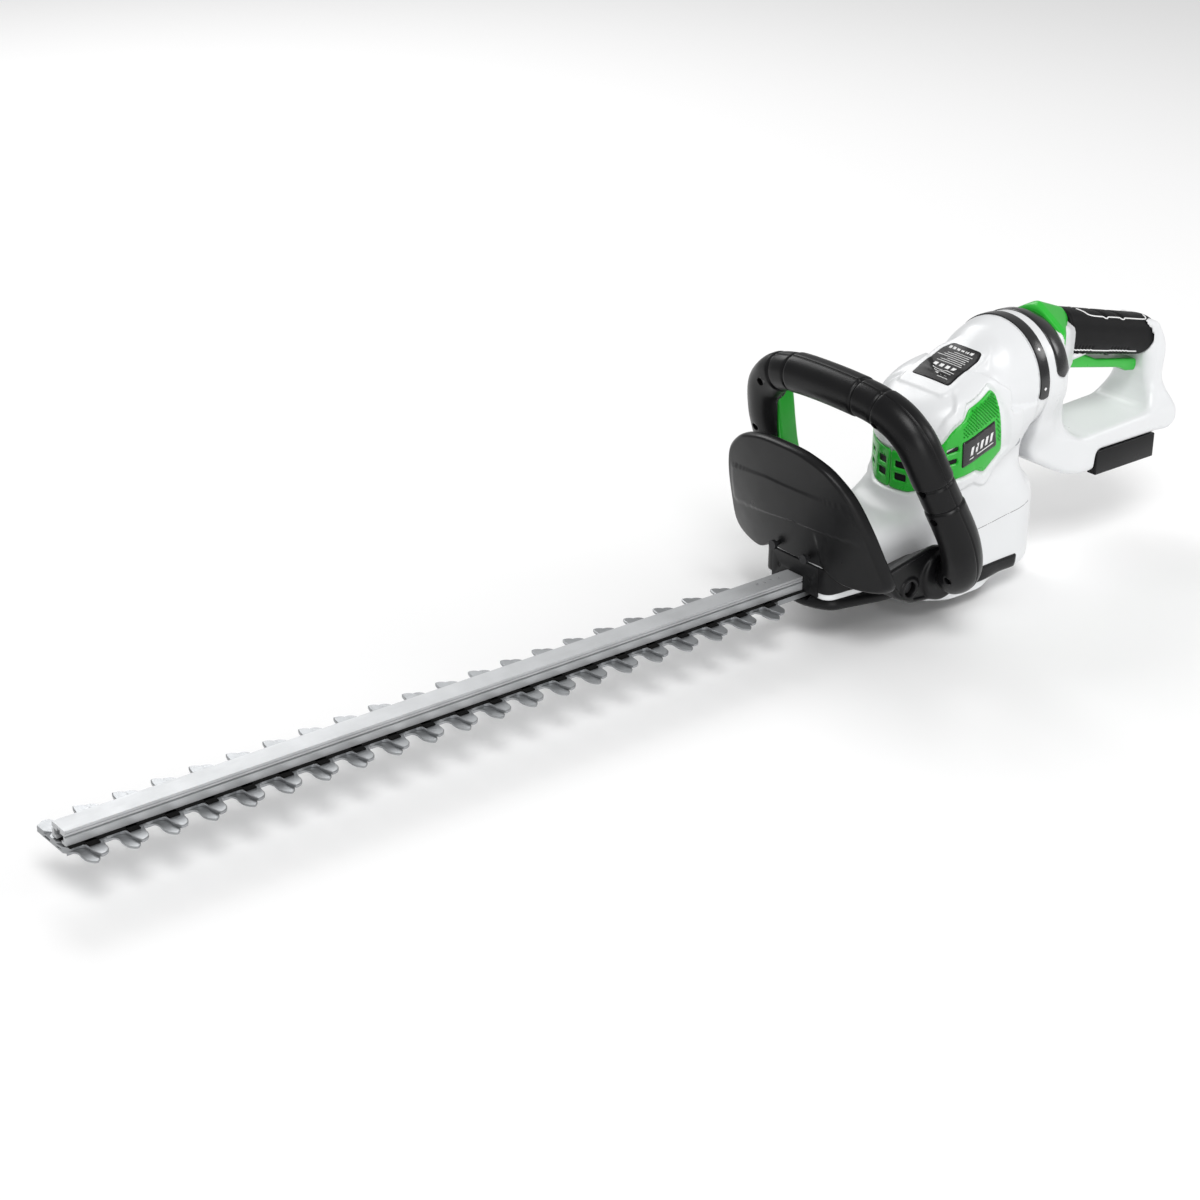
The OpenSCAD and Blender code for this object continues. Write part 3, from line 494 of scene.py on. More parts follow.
def bodyField(x, y, z):
    plan = np.hypot(x, y)
    top = (z - 137 - 0.36 * (x + 9)) * 0.94
    barrel = meetSmooth(plan - housing["barrelR"], top, 20)
    neckZ = 113 + (np.clip(x, -10, 57) - 28) * 0.42
    neck = meetSmooth((np.hypot(y, z - neckZ) - 38.5) * 0.95, np.abs(x - 24) - 33, 6)
    hubReach = np.hypot(y, z - housing["hubZ"])
    dome = meetSmooth(hubReach - 40 + 0.02 * (57 - np.clip(x, 15, 57)) ** 2, 22 - x, 8)
    spine = boxField(x, y, z, (8, -32, 52), (60, 32, 128), 15)
    upper = joinSmooth(joinSmooth(barrel, neck, 8), spine, 10)
    ends = np.hypot(x - np.clip(x, 0, 46), y) - 38.2
    belly = meetSmooth(meetSmooth(ends, z - 68, 24), -z, 14)
    halfWidth = np.minimum(29 + (x + 117) * 0.09, 36.5)
    hood = meetSmooth(np.abs(y) - halfWidth, z - 57 - (x + 117) * 0.07, 14)
    hood = meetSmooth(meetSmooth(hood, np.abs(x + 53.5) - 63.5, 8), 22 - z, 2)
    lower = joinSmooth(joinSmooth(upper, belly, 14), hood, 14)
    lower = meetSmooth(lower, np.where(x < 0, np.abs(y) - 38.5, ends), 2)
    shape = joinSmooth(lower, dome, 8)
    rim = hubReach - housing["hubR"] - 0.2 + 0.3 * np.clip(57 - x, 0, 22)
    rim = rim - 1.4 * np.maximum(35 - x, 0) - 1.7 * np.maximum(122 - z, 0)
    return cutSmooth(meetSmooth(shape, rim, 1), np.maximum(housing["hubEnd"] - x, 86 - z), 1.2)


def housingField(x, y, z):
    shape = bodyField(x, y, z)
    panel = outlineField(axisAngle(x, y) * 0.663, z, [(a * 0.663, h) for a, h in panelOutline])
    frameWeight = fall(-axisAngle(x, y), -60, -42)
    shape = shape + 1.7 * fall(panel, 0.6, 2.6) - 1.5 * fall(panel, 7.5, 9.3) * frameWeight
    label = outlineField(x, y, labelOutline)
    above = z - 138.2 - 0.42 * (x + 9)
    plateau = meetSmooth((label - 4 + 0.3 * above) / 1.05, above / 1.08, 1.0)
    return joinSmooth(shape, meetSmooth(plateau, 118 - z, 1), 2)


points, faces = meshField(housingField, (-119, -42, -2), (87, 42, 173), housing["cell"])
addPiece("housing_shell", points, faces, whiteShell, "body", ("housing_left", "housing_right"), "white_shell")
print("housing", len(faces))


def arcSteps(outline, step):  # an outline with a point every step or so
    found = []
    for (au, av), (bu, bv) in zip(outline, outline[1:] + outline[:1]):
        count = max(1, round(math.hypot(bu - au, bv - av) / step))
        found += [(au + (bu - au) * k / count, av + (bv - av) * k / count) for k in range(count)]
    return found


def roundCorners(outline, radius, count=4):
    found = []
    for before, here, after in zip(outline[-1:] + outline[:-1], outline, outline[1:] + outline[:1]):
        here = Vector(here)
        into, out = Vector(before) - here, Vector(after) - here
        reach = min(radius, into.length * 0.45, out.length * 0.45)
        a, b = here + into.normalized() * reach, here + out.normalized() * reach
        for k in range(count + 1):
            t = k / count
            found.append(tuple(a * (1 - t) ** 2 + here * 2 * t * (1 - t) + b * t * t))
    return found


def skinPatch(field, outline, place, low, high, step=1.6, holes=(), edge=0.6):
    # a plate that lies on a field's surface: its outline is flat, place puts a flat point near the surface
    loops = [arcSteps(outline, step)] + [arcSteps(h, step * 0.7) for h in holes]
    flat, edges = [], []
    for loop in loops:
        start = len(flat)
        flat += loop
        edges += [(start + k, start + (k + 1) % len(loop)) for k in range(len(loop))]
    border = len(flat)
    for loop in loops:  # a second row just inside, so that the edge can be rounded
        for before, here, after in zip(loop[-1:] + loop[:-1], loop, loop[1:] + loop[:1]):
            along = Vector(after) - Vector(before)
            side = Vector((-along.y, along.x)).normalized() * edge
            for sign in (1, -1):
                flat.append((here[0] + side.x * sign, here[1] + side.y * sign))
    spread = np.array(outline)
    us = np.arange(spread[:, 0].min(), spread[:, 0].max(), step)
    vs = np.arange(spread[:, 1].min(), spread[:, 1].max(), step)
    flat += [(u + (step / 2 if row % 2 else 0), v) for row, v in enumerate(vs) for u in us]
    flat = np.array(flat)

    def toEdge(p):
        d = outlineField(p[:, 0], p[:, 1], outline)
        for hole in holes:
            d = np.maximum(d, -outlineField(p[:, 0], p[:, 1], hole))
        return d
    keep = toEdge(flat) < -edge * 0.7
    keep[:border] = True
    flat = flat[keep]
    verts, _, tris, _, _, _ = delaunay_2d_cdt([Vector(p) for p in flat], edges, [], 0, 1e-5)
    flat = np.array([tuple(v) for v in verts])
    tris = np.array([t for t in tris])
    centre = flat[tris].mean(axis=1)
    tris = tris[toEdge(centre) < 0]
    depth = np.clip(-toEdge(flat) / edge, 0, 1)
    start = np.array([place(u, v) for u, v in flat])
    base = settle(field, start, low, 8, 6)
    slope = fieldSlope(field, base)
    slope /= np.linalg.norm(slope, axis=1)[:, None]
    rise = (high - low) * (0.35 + 0.65 * np.sqrt(1 - (1 - depth) ** 2))
    top = base + slope * rise[:, None]
    a, b, c = top[tris[:, 0]], top[tris[:, 1]], top[tris[:, 2]]
    turned = (np.cross(b - a, c - a) * slope[tris[:, 0]]).sum(axis=1).sum() < 0
    if turned:
        tris = tris[:, ::-1]
    n = len(flat)
    count = {}
    for t in tris:
        for k in range(3):
            e = (int(t[k]), int(t[(k + 1) % 3]))
            count[e] = count.get(e, 0) + 1
    walls = [(e[1], e[0], e[0] + n, e[1] + n) for e in count if (e[1], e[0]) not in count]
    faces = [tuple(map(int, t)) for t in tris] + [tuple(int(v) + n for v in t[::-1]) for t in tris] + walls
    return np.concatenate([top, base]), faces


def joined(parts):  # several (points, faces) as one
    points, faces, start = [], [], 0
    for p, f in parts:
        points.append(np.asarray(p))
        faces += [tuple(int(v) + start for v in face) for face in f]
        start += len(p)
    return np.concatenate(points), faces


# green side panels, their air slots, badges and the label

panels = {"rise": 1.3, "perDegree": 0.663}


def onBarrel(side):
    def place(s, z):
        angle = math.radians(s / panels["perDegree"])
        return (-40 * math.cos(angle), side * 40 * math.sin(angle), z)
    return place


def slantedSlot(s, z, width, height, rise):
    return [(s, z), (s + width, z + rise), (s + width, z + rise + height), (s, z + height)]


frontSlots = [slantedSlot(4, z, 9, 4.6, 0) for z in (79.2, 87.6)] + [slantedSlot(19, z, 8, 4.2,
        1) for z in (80, 88.4)]
sideSlots = [slantedSlot(37, 92.5, 8.5, 3.2, 2.4), slantedSlot(39, 101, 7, 3, 2.4)]
panelFlat = roundCorners([(0.25, 98.6)] + [(a * panels["perDegree"], h) for a,
                                           h in panelOutline[2:-1]] + [(0.25, 73.5)], 2.5, 3)
panelSlots = [roundCorners(s, 0.8, 2) for s in frontSlots + sideSlots]
for side, name in ((-1, "left"), (1, "right")):
    skin = skinPatch(housingField, panelFlat, onBarrel(side), 0.05, panels["rise"], 1.5, panelSlots)
    addPiece("side_panel_" + name + "_skin", *skin, greenPlastic, "body", ("side_panel_" + name,),
             "green_plastic")
    # a black sheet under the panel's air slots: painted shade for the dark inside seen through them
    slotShadeFlat = [(1, 76), (1, 96), (30, 97), (48, 108), (48, 93), (30, 80), (14, 76)]
    skin = skinPatch(housingField, slotShadeFlat, onBarrel(side), -0.3, 0.25, 3)
    addPiece("slot_painted_shade_" + name, *skin, blackPlastic)
badgeFlat = roundCorners([(49, 91.5), (48.5, 109), (76, 118), (79, 100.5)], 1.2, 3)
for side, name in ((-1, "left"), (1, "right")):
    skin = skinPatch(housingField, badgeFlat, onBarrel(side), panels["rise"] - 0.2, panels["rise"] + 0.7, 1.6)
    addPiece("side_badge_" + name + "_plate", *skin, blackGloss, "body", ("side_badge_" + name,),
             "badge_black")


def surfacePoints(field, spots, place, level):  # places on a field's surface, with the way each one faces
    points = settle(field, np.array([place(u, v) for u, v in spots]), level, 8, 6)
    slope = fieldSlope(field, points)
    return points, slope / np.linalg.norm(slope, axis=1)[:, None]


studs = {"pitch": 2.6, "radius": 0.7, "height": 1.0}
spots = [(i + 0.5 * (j % 2), 0.5 * j) for j in range(48) for i in range(19, 41)]
grid = np.array(spots) * studs["pitch"] + (0, 92)
clearOf = outlineField(grid[:, 0], grid[:, 1], panelFlat) < -2.2
clearOf &= outlineField(grid[:, 0], grid[:, 1], badgeFlat) > 2.0
clearOf &= grid[:, 1] > 103.5
clearOf &= grid[:, 0] > 45
for side, name in ((-1, "left"), (1, "right")):
    points, facing = surfacePoints(housingField, grid[clearOf], onBarrel(side), panels["rise"] + 0.3)
    # the studs carry the darker green: painted shade for the hollows of the diamond pattern
    growPiece("panel_studs_" + name, "studs", (points - facing * 0.2, []),
              {"Radius": studs["radius"] * mm, "Height": studs["height"] * mm}, greenStudPaintedShade, "body", facing)
    bars = [[(54.5 + 4.2 * k, 98.8 + 1.35 * k), (56.7 + 4.2 * k, 99.5 + 1.35 * k),
             (57.7 + 4.2 * k, 105.4 + 1.35 * k),
             (55.5 + 4.2 * k, 104.7 + 1.35 * k)] for k in range(5)]
    bars.append([(54, 96.2), (75, 102.9), (75.1, 103.7), (54.1, 97.0)])
    base = panels["rise"] + 0.65
    marks = [skinPatch(housingField, bar, onBarrel(side), base, base + 0.15, 3, (), 0.2) for bar in bars]
    addPiece("badge_marks_" + name, *joined(marks), whiteMark)


def onTop(x, y):
    return (x, y, 150)


labelFlat = roundCorners(labelOutline, 2.0, 3)
skin = skinPatch(housingField, labelFlat, onTop, -0.05, 0.45, 1.6)
addPiece("rating_label_plate", *skin, blackPlastic, "body", ("rating_label",), "badge_black")

# the marks on the label and the badge are plain bars
labelBars = [(24.0, -9 + 3.7 * k, 3.0, 2.5) for k in range(6)]
labelBars += [(21.2 - 1.9 * k, -11.5 + 1.3 * (k % 2), 0.55, 16 + 3 * ((k * 5) % 4)) for k in range(7)]
labelBars += [(4.2, -10 + 5.4 * k, 3.2, 3.2) for k in range(4)]
labelBars += [(1.2 - 2 * k, -12.5, 0.55, 19 - 3 * k) for k in range(4)]
marks = []
for x, y, wide, tall in labelBars:
    block = [(x, y), (x + wide, y), (x + wide, y + tall), (x, y + tall)]
    marks.append(skinPatch(housingField, block, onTop, 0.35, 0.68, 3, (), 0.2))
addPiece("label_marks", *joined(marks), whiteMark)
print("panels")


# hand guard

guard = {"midZ": 80, "wall": 2.4, "around": 168}
guardHalf = [
    (0, 127), (12, 126.8), (23, 125.3), (37, 121), (46, 115.3), (54.5, 106.6), (60, 96), (65, 80.6), (69, 62),
    (71.6, 48), (70.5, 42), (65, 38), (53, 36), (41, 36.3), (33, 39.5), (25, 44.4), (12, 44.8), (0, 44.8)
]


def catmull(points, per, closed=False):
    pts = [np.array(p, float) for p in points]
    n = len(pts)
    found = []
    for k in range(n if closed else n - 1):
        quad = [pts[(k + j) % n] if closed else pts[min(max(k + j, 0), n - 1)] for j in (-1, 0, 1, 2)]
        for step in range(per):
            t = step / per
            found.append(0.5 * (2 * quad[1] + (quad[2] - quad[0]) * t
                                + (2 * quad[0] - 5 * quad[1] + 4 * quad[2] - quad[3]) * t * t
                                + (3 * quad[1] - quad[0] - 3 * quad[2] + quad[3]) * t ** 3))
    if not closed:
        found.append(pts[-1])
    return np.array(found)


def evenly(points, count, closed=True):
    p = np.vstack([points, points[:1]]) if closed else points
    along = np.concatenate([[0], np.cumsum(np.linalg.norm(np.diff(p, axis=0), axis=1))])
    at = np.linspace(0, along[-1], count, endpoint=not closed)
    return np.stack([np.interp(at, along, p[:, k]) for k in range(p.shape[1])], axis=1)


def guardX(y, z):
    return -119.5 - (z - 44) * 0.22 + 12 * (y / 72) ** 2 * (1.1 - (z - 44) / 100)


def guardRib(y, z):  # two long steps across the face, and a wedge towards the near wing
    first = z - np.interp(y, [-72, -19, 17, 60, 72], [98, 98, 97.8, 92.7, 90])
    second = z - np.interp(y, [-72, -50, -2, 72], [73, 73.4, 72.8, 62.3])
    across = np.clip((y + 62) / 20, 0, 1)
    step = fall(first, -0.4, 0.4) * fall(-second, -0.4, 0.4)
    wedge = fall(np.abs(y + 27) - (z - 40) * 0.12, 0, 1.5) * fall(z - second * 0, 66, 72)
    return -0.9 * step * across - 0.7 * wedge


def buildGuard():
    whole = guardHalf + [(-y, z) for y, z in guardHalf[-2:0:-1]]
    outline = evenly(catmull(whole, 10, True), guard["around"])
    mid = np.array([0, guard["midZ"]])

    def ring(t, back, rib=True):
        p = mid + (outline - mid) * t
        x = guardX(p[:, 0], p[:, 1]) + back
        if rib:
            x = x + guardRib(p[:, 0], p[:, 1]) * fall(np.full(len(p), t), 0.86, 0.93)
        return np.column_stack([x, p])
    front = [ring(t, 0) for t in np.linspace(0.01, 0.93, 60)] + [ring(t, 0) for t in (0.945, 0.955)]
    lip = [(0.963, 0.15), (0.975, 0.6), (0.987, 1.5), (0.996, 2.8), (1.0, 4.4), (1.0, 7.2), (0.997, 7.8),
           (0.991, 8.0), (0.976, 8.0), (0.970, 7.7), (0.967, 7.1), (0.962, 4.2), (0.950, 2.8), (0.93, 2.4)]
    rim = [ring(t, back) for t, back in lip]
    rear = [ring(t, guard["wall"], False) for t in np.linspace(0.9, 0.01, 12)]
    return sweepRings(front + rim + rear)


tidyNormals(addPiece("guard_shell", *buildGuard(), blackPlastic, "body", ("guard",), "black_plastic"))
print("guard")


# front handle: one tube swept along its middle line, with grip rings, a seam and screw wells

handle = {"radius": 13.2, "around": 56, "step": 1.3}
handleHalf = [
    (-89, 0, 154), (-89, 28, 153.3), (-89, 42, 151.5), (-88, 53, 148), (-86.5, 62, 142), (-84, 69, 133),
    (-77, 75, 113.5), (-67.5, 79, 92.5), (-59, 82, 74), (-54, 82.5, 61), (-49, 79.5, 49), (-45, 73, 39.5),
    (-43, 64, 34.5)
]
leanNormal = np.array([math.cos(math.radians(20.7)), 0, math.sin(math.radians(20.7))])
gripRings = [(90.5, 73.5), (168.5, 151), (243, 229)]  # pairs of rings, by distance along the tube


def handlePath():
    whole = [(x, -y, z) for x, y, z in handleHalf[:0:-1]] + handleHalf
    smooth = catmull(whole, 12)
    length = np.linalg.norm(np.diff(smooth, axis=0), axis=1).sum()
    return evenly(smooth, int(length / handle["step"]), False)


def buildHandle():
    path = handlePath()
    along = np.concatenate([[0], np.cumsum(np.linalg.norm(np.diff(path, axis=0), axis=1))])
    total = along[-1]
    marks = [(a, b) for a, b in gripRings]
    stations = set(np.arange(0, total, 2.6))
    for pair in marks:
        for at in pair:
            stations |= {at + d for d in (-2.6, -1.8, -1.3, -0.8, -0.4, 0, 0.4, 0.8, 1.3, 1.8, 2.6)}
    stations = np.array(sorted(s for s in stations if 0 <= s <= total))
    angles = np.linspace(0, 2 * math.pi, handle["around"], endpoint=False)
    seams = [math.pi / 2, 3 * math.pi / 2]
    kept = {a for a in angles if min(abs(a - s) for s in seams) > 0.06}
    angles = sorted(kept | {s + d for s in seams for d in (-0.045, -0.018, 0.018, 0.045)})
    angles = np.array(angles)
    seamDip = np.where(np.min([np.abs(angles - s) for s in seams], axis=0) < 0.03, 0.5, 0.0)
    centre = np.stack([np.interp(stations, along, path[:, k]) for k in range(3)], axis=1)
    tangent = np.gradient(centre, stations, axis=0)
    tangent -= (tangent @ leanNormal)[:, None] * leanNormal
    tangent /= np.linalg.norm(tangent, axis=1)[:, None]
    side = np.cross(leanNormal, tangent)
    rings = []
    for k, at in enumerate(stations):
        r = handle["radius"]
        for a, b in marks:
            if b < at < a:
                r -= 0.55 * min(1.0, (a - at) / 1.5, (at - b) / 1.5)
            for g in (a, b):
                r -= 1.3 * math.exp(-((at - g) / 0.95) ** 2)
        ends = min(at, total - at)
        if ends < 6:
            r -= 6 - math.sqrt(36 - (6 - ends) ** 2)
        circle = (np.cos(angles)[:, None] * leanNormal + np.sin(angles)[:,
                None] * side[k]) * (r - seamDip)[:, None]
        rings.append(centre[k] + circle)
    return sweepRings(rings)


def cutWells(obj, wells, radius, depth):  # round wells: (mouth, inward direction)
    parts = []
    for mouth, inward in wells:
        inward = Vector(inward).normalized()
        up = inward.orthogonal().normalized()
        across = inward.cross(up)
        rings = [[Vector(mouth) + inward * d + (up * math.cos(a) + across * math.sin(a)) * radius
                  for a in np.linspace(0, 2 * math.pi, 28, endpoint=False)] for d in (-6, depth)]
        parts.append(sweepRings(rings))
    cutter = tidyNormals(addCutter(joined(parts)))
    change = obj.modifiers.new("wells", "BOOLEAN")
    change.operation = "DIFFERENCE"
    change.object = cutter
    change.solver = "EXACT"
    bakeModifiers(obj)
    bpy.data.objects.remove(cutter)


def addCutter(part):
    mesh = bpy.data.meshes.new("cutter")
    mesh.from_pydata([tuple(p) for p in np.asarray(part[0]) * mm], [], [tuple(f) for f in part[1]])
    cutter = bpy.data.objects.new("cutter", mesh)
    scene.collection.objects.link(cutter)
    return cutter


handleTube = addPiece("handle_tube", *buildHandle(), blackPlastic, "body",
                      ("handle_front", "handle_rear", "handle_screws"), "black_plastic")
tidyNormals(handleTube)
handleWells = [
    ((-99.9, 59.3, 141.7), (0.98, -0.04, 0.19)), ((-86.2, 77.2, 102.0), (0.91, -0.08, 0.40)),
    ((-99.8, -45.1, 143.4), (0.85, -0.09, 0.51)), ((-87.6, -77.1, 105.2), (0.91, 0.12, 0.39)),
    ((-78.6, -80.4, 85.4), (0.91, 0.09, 0.40)), ((-59.2, -77.6, 39.3), (0.90, 0.07, 0.43))
]
cutWells(handleTube, handleWells, 2.7, 5.0)
wellFloor = [np.array(mouth) + np.array(inward) / np.linalg.norm(inward) * 5.6 for mouth,
             inward in handleWells]
growPiece("handle_well_screws", "screws", (wellFloor, []),
          {"Radius": 2.3 * mm, "Height": 1.6 * mm, "Slot": 0.7 * mm},
          fixingSteel, "body", -np.array([inward for mouth, inward in handleWells], float))
print("handle")


# copies of exact CAD parts with their edges broken

def edgedCopy(node, width, material, body="body", segments=2, angle=35, extra=()):
    source = frame["nodes"][node]
    mesh = source.data.copy()
    mesh.materials.clear()
    mesh.materials.append(material)
    obj = bpy.data.objects.new(node + "_edged", mesh)
    scene.collection.objects.link(obj)
    work = bmesh.new()
    work.from_mesh(mesh)
    bmesh.ops.remove_doubles(work, verts=work.verts, dist=1e-6)
    bmesh.ops.dissolve_limit(work, angle_limit=math.radians(1), verts=work.verts, edges=work.edges)
    bmesh.ops.recalc_face_normals(work, faces=work.faces)
    work.to_mesh(mesh)
    work.free()
    mesh.polygons.foreach_set("use_smooth", [True] * len(mesh.polygons))
    bevel = obj.modifiers.new("edges", "BEVEL")
    bevel.width = width * mm
    bevel.segments = segments
    bevel.limit_method = "ANGLE"
    bevel.angle_limit = math.radians(angle)
    bevel.harden_normals = True
    bakeModifiers(obj)
    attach(obj, body)
    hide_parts(node, *extra)
    return obj


def flatShade(obj, angle=32):  # sharp where faces meet steeply, smooth elsewhere
    work = bmesh.new()
    work.from_mesh(obj.data)
    for edge in work.edges:
        if len(edge.link_faces) == 2 and edge.calc_face_angle(0) > math.radians(angle):
            edge.smooth = False
    work.to_mesh(obj.data)
    work.free()
    return obj


# blades and bar: every tooth is one shape set out along a row

blade = {
    "pitch": 24.0, "count": 21, "firstX": -636.0, "halfW": 9.0, "farReach": 30.5,
    "upperShift": 7.5, "farShift": -4.4, "steps": 56,
}


def longTooth(side):  # straight leading edge, notched tip
    flat = [(-7.8, 9), (-5.6, 9.3), (-3.9, 10.4), (-2.8, 13), (-3.1, 16), (-3.1, 19.6), (-2.1, 23),
            (0.3, 25.8), (1.6, 26),
            (2.5, 25.2), (3.9, 24), (5.2, 21), (5.8, 17), (6.6, 12.5), (8.4, 9.8), (11, 9)]
    return [(x, side * y) for x, y in flat]


def roundTooth(side, reach=23.9):
    more = reach - 23.9
    flat = [(-7.6, 9), (-5.4, 10.8), (-4.6, 14.5), (-4.6, 16.4 + more / 2), (-4.1, 19.3 + more),
            (-3.2, 22.5 + more),
            (-2.4, 23.9 + more), (-0.5, 23.8 + more), (1.3, 23 + more), (3.1, 21.1 + more), (4, 18.4 + more),
            (4.3, 15.7 + more / 2), (5.4, 11.5), (8.5, 9)]
    return [(x, side * y) for x, y in flat]


def toothPart(points, low, high, groundTop, groundLow):
    n = blade["steps"]
    side = 1 if points[2][1] > 0 else -1
    line = evenly(catmull(points, 6), n, False)
    line[:, 1] = side * np.maximum(side * line[:, 1], blade["halfW"])
    along = np.gradient(line, axis=0)
    along /= np.linalg.norm(along, axis=1)[:, None]
    inward = np.column_stack([along[:, 1], -along[:, 0]]) * side
    order = np.arange(n)
    fade = np.minimum(1, np.minimum(order, n - 1 - order) / 3.0)[:, None]

    def level(inset, z):
        p = line + inward * inset * (0.25 + 0.75 * fade)
        p[:, 1] = side * np.maximum(side * p[:, 1], blade["halfW"])
        return np.column_stack([p, np.full(n, z)])
    rings = [level(groundLow, low), level(0, low + groundLow * 0.6), level(0, high - groundTop * 0.55),
             level(groundTop, high)]
    faces = [tuple(range(n - 1, -1, -1)), tuple(range(3 * n, 4 * n))]
    for r in range(3):
        at, up = r * n, (r + 1) * n
        faces += [(at + k, at + k + 1, up + k + 1, up + k) for k in range(n - 1)]
    faces.append((0, n, 2 * n, 3 * n, 4 * n - 1, 3 * n - 1, 2 * n - 1, n - 1))
    return np.concatenate(rings), faces


def nodeHeights(node):
    heights = [v.co.z / mm for v in frame["nodes"][node].data.vertices]
    return min(heights), max(heights)


def bladeStrip(low, high):  # the flat middle of a blade, with its slots
    first = blade["firstX"] - 8
    outline = [(first, -5), (first + 3, -9), (-64, -9), (-64, 9), (first + 14, 9), (first + 11.5, 14),
               (first + 11, 21), (first + 8.5, 25.8), (first + 5, 26.5), (first, 23.5)]
    angles = np.linspace(-math.pi / 2, math.pi / 2, 7)
    holes = []
    for k in range(6):
        x = -606 + 88 * k
        ends = [(x + 6.4 + 3.75 * math.cos(a), 3.75 * math.sin(a)) for a in angles]
        holes.append(ends + [(2 * x - u, -v) for u, v in ends])

    def flatPlace(x, y):
        return (x, y, low)
    return skinPatch(lambda x, y, z: z - low, outline, flatPlace, 0, high - low, 7, holes, 0.2)


def buildBlade(name, body, nearShape, nearX, farX, groundTop, groundLow):
    low, high = nodeHeights(name)
    rows = []
    near = ("near", nearShape, nearX, blade["count"])
    far = ("far", roundTooth(1, blade["farReach"]), farX + blade["pitch"], blade["count"] - 1)
    for side, points, at, count in (near, far):
        moved = [(x + blade["firstX"] + at, y) for x, y in points]
        part = toothPart(moved, low, high, groundTop, groundLow)
        values = {"Count": count, "Pitch": blade["pitch"] * mm}
        rows.append(growPiece(name + "_teeth_" + side, "row", part, values, bladeSteel, body))
    strip = addPiece(name + "_strip", *bladeStrip(low, high), bladeSteel, body, (name,), "blade_steel", False)
    for piece in rows + [strip]:
        flatShade(tidyNormals(piece), 20)


buildBlade("upper_blade", "upper_cutter", roundTooth(-1), blade["upperShift"], blade["farShift"], 0.5, 0.2)
buildBlade("lower_blade", "lower_cutter", longTooth(-1), 0, 3, 0.35, 1.2)

bar = {"start": -643.0, "end": -98.0, "low": 24.0}
barHalf = [  # half width, height: two grooves run down each side
    (7.0, 9), (7.2, 8.8), (7.2, 7.6), (6.7, 7.4), (6.7, 7.2), (7.25, 6.95), (7.25, 5.9), (5.7, 5.7),
    (5.7, 4.95), (7.4, 4.7),
    (7.4, 0), (2.9, 0), (2.9, 1.8), (5.2, 1.8), (5.2, 5.4), (1.6, 5.4), (1.6, 7.2)
]
barLoop = barHalf + [(-y, z) for y, z in barHalf[::-1]]
rings = [[(x, y, bar["low"] + z) for y, z in barLoop] for x in (bar["start"], bar["end"])]
supportBar = tidyNormals(addPiece("support_bar_profile", *sweepRings(rings), barAlloy, "body",
                                  ("support_bar",), "bar_alloy"))
cutWells(supportBar, [((-148.5 + 5.7 * k, 2.2 - 1.2 * (k % 2), 33.0), (0, 0, -1)) for k in range(4)],
         0.85, 1.4)
flatShade(supportBar, 20)
pad = {"from": 3.4, "to": 10.2, "reach": 13.4}
stripBox = ((bar["start"] + 1, -9.7, 23.15), (bar["end"] - 2, 9.7, 24))
padBox = ((blade["firstX"] + pad["from"], -pad["reach"], 23.15),
          (blade["firstX"] + pad["to"], pad["reach"], 24.0))


def boxPart(low, high):
    ring = [(low[1], low[2]), (high[1], low[2]), (high[1], high[2]), (low[1], high[2])]
    return sweepRings([[(x, y, z) for y, z in ring] for x in (low[0], high[0])])


# strip and pads in the near-black strip material: their own black plus painted shade for the gap under the
# bar
addPiece("guide_strip_plate", *boxPart(*stripBox), wearStripPaintedShade, "body", ("guide_strip",), "wear_strip", False)
growPiece("wear_pads", "row", boxPart(*padBox), {"Count": blade["count"], "Pitch": blade["pitch"] * mm},
          wearStripPaintedShade)
edgedCopy("blade_bolts", 0.5, fixingSteel, "body", 3)
print("blades and bar")


# brackets, nose cover with painted shade, bottom cover and base strips

bracket = {"screw": (-75, 32), "boss": (-47, 35), "bossR": 17.5}
bracketFlat = roundCorners([
    (-98.8, 47.5), (-94, 50.8), (-56, 59), (-36, 53), (-29, 40), (-31, 24), (-44, 18.8), (-60, 19.6),
    (-73, 21), (-85.5, 27.5),
    (-97, 43)
], 3, 4)


def bracketField(x, y, z):
    out = np.abs(y)
    outline = outlineField(x, z + (61.8 - out) * 0.7 * np.clip((z - 24) / 20, 0, 1), bracketFlat)
    plate = meetSmooth(outline, np.abs(out - 49.5) - 12.3, 3)
    sunk = meetSmooth(outline + 3.2, 60.6 - out, 0.8)
    screw = np.hypot(x - bracket["screw"][0], z - bracket["screw"][1])
    plate = cutSmooth(plate, sunk, 0.8)
    plate = joinSmooth(plate, meetSmooth(screw - 7.6, np.abs(out - 57) - 4.6, 1), 1)
    plate = cutSmooth(plate, meetSmooth(screw - 4.9, 55.6 - out, 0.4), 0.6)
    boss = np.hypot(x - bracket["boss"][0], z - bracket["boss"][1]) - bracket["bossR"]
    return joinSmooth(plate, meetSmooth(boss, np.abs(out - 58) - 5.6, 3), 1.5)


for side, name in ((-1, "left"), (1, "right")):
    low, high = (36, 65) if side > 0 else (-65, -36)
    part = meshField(bracketField, (-101, low, 17), (-26, high, 61), 0.8)
    addPiece("bracket_" + name + "_moulded", *part, blackPlastic, "body", ("bracket_" + name,),
             "black_plastic")


def noseCoverShadeField(x, y, z):  # the black shell round the front corners of the housing, under the guard: partly black plastic, partly painted shade for the shaded face there
    band = meetSmooth(np.abs(z - 35.4) - 8.8, np.abs(x + 98.5) - 20.6, 2)
    return meetSmooth(bodyField(x, y, z) - 0.7, band, 0.8)


addPiece("nose_cover_and_shade", *meshField(noseCoverShadeField, (-121, -42, 25), (-76, 42, 46), 0.9), blackPlastic, "body",
         (), "black_plastic")

coverFlat = roundCorners([
    (-120.5, -9), (-117, -19), (-110.5, -28.5), (-72, -38), (-14.5, -39), (-14.5, 39), (-72, 38),
    (-110.5, 28.5), (-117, 19), (-120.5, 9)
], 6, 4)


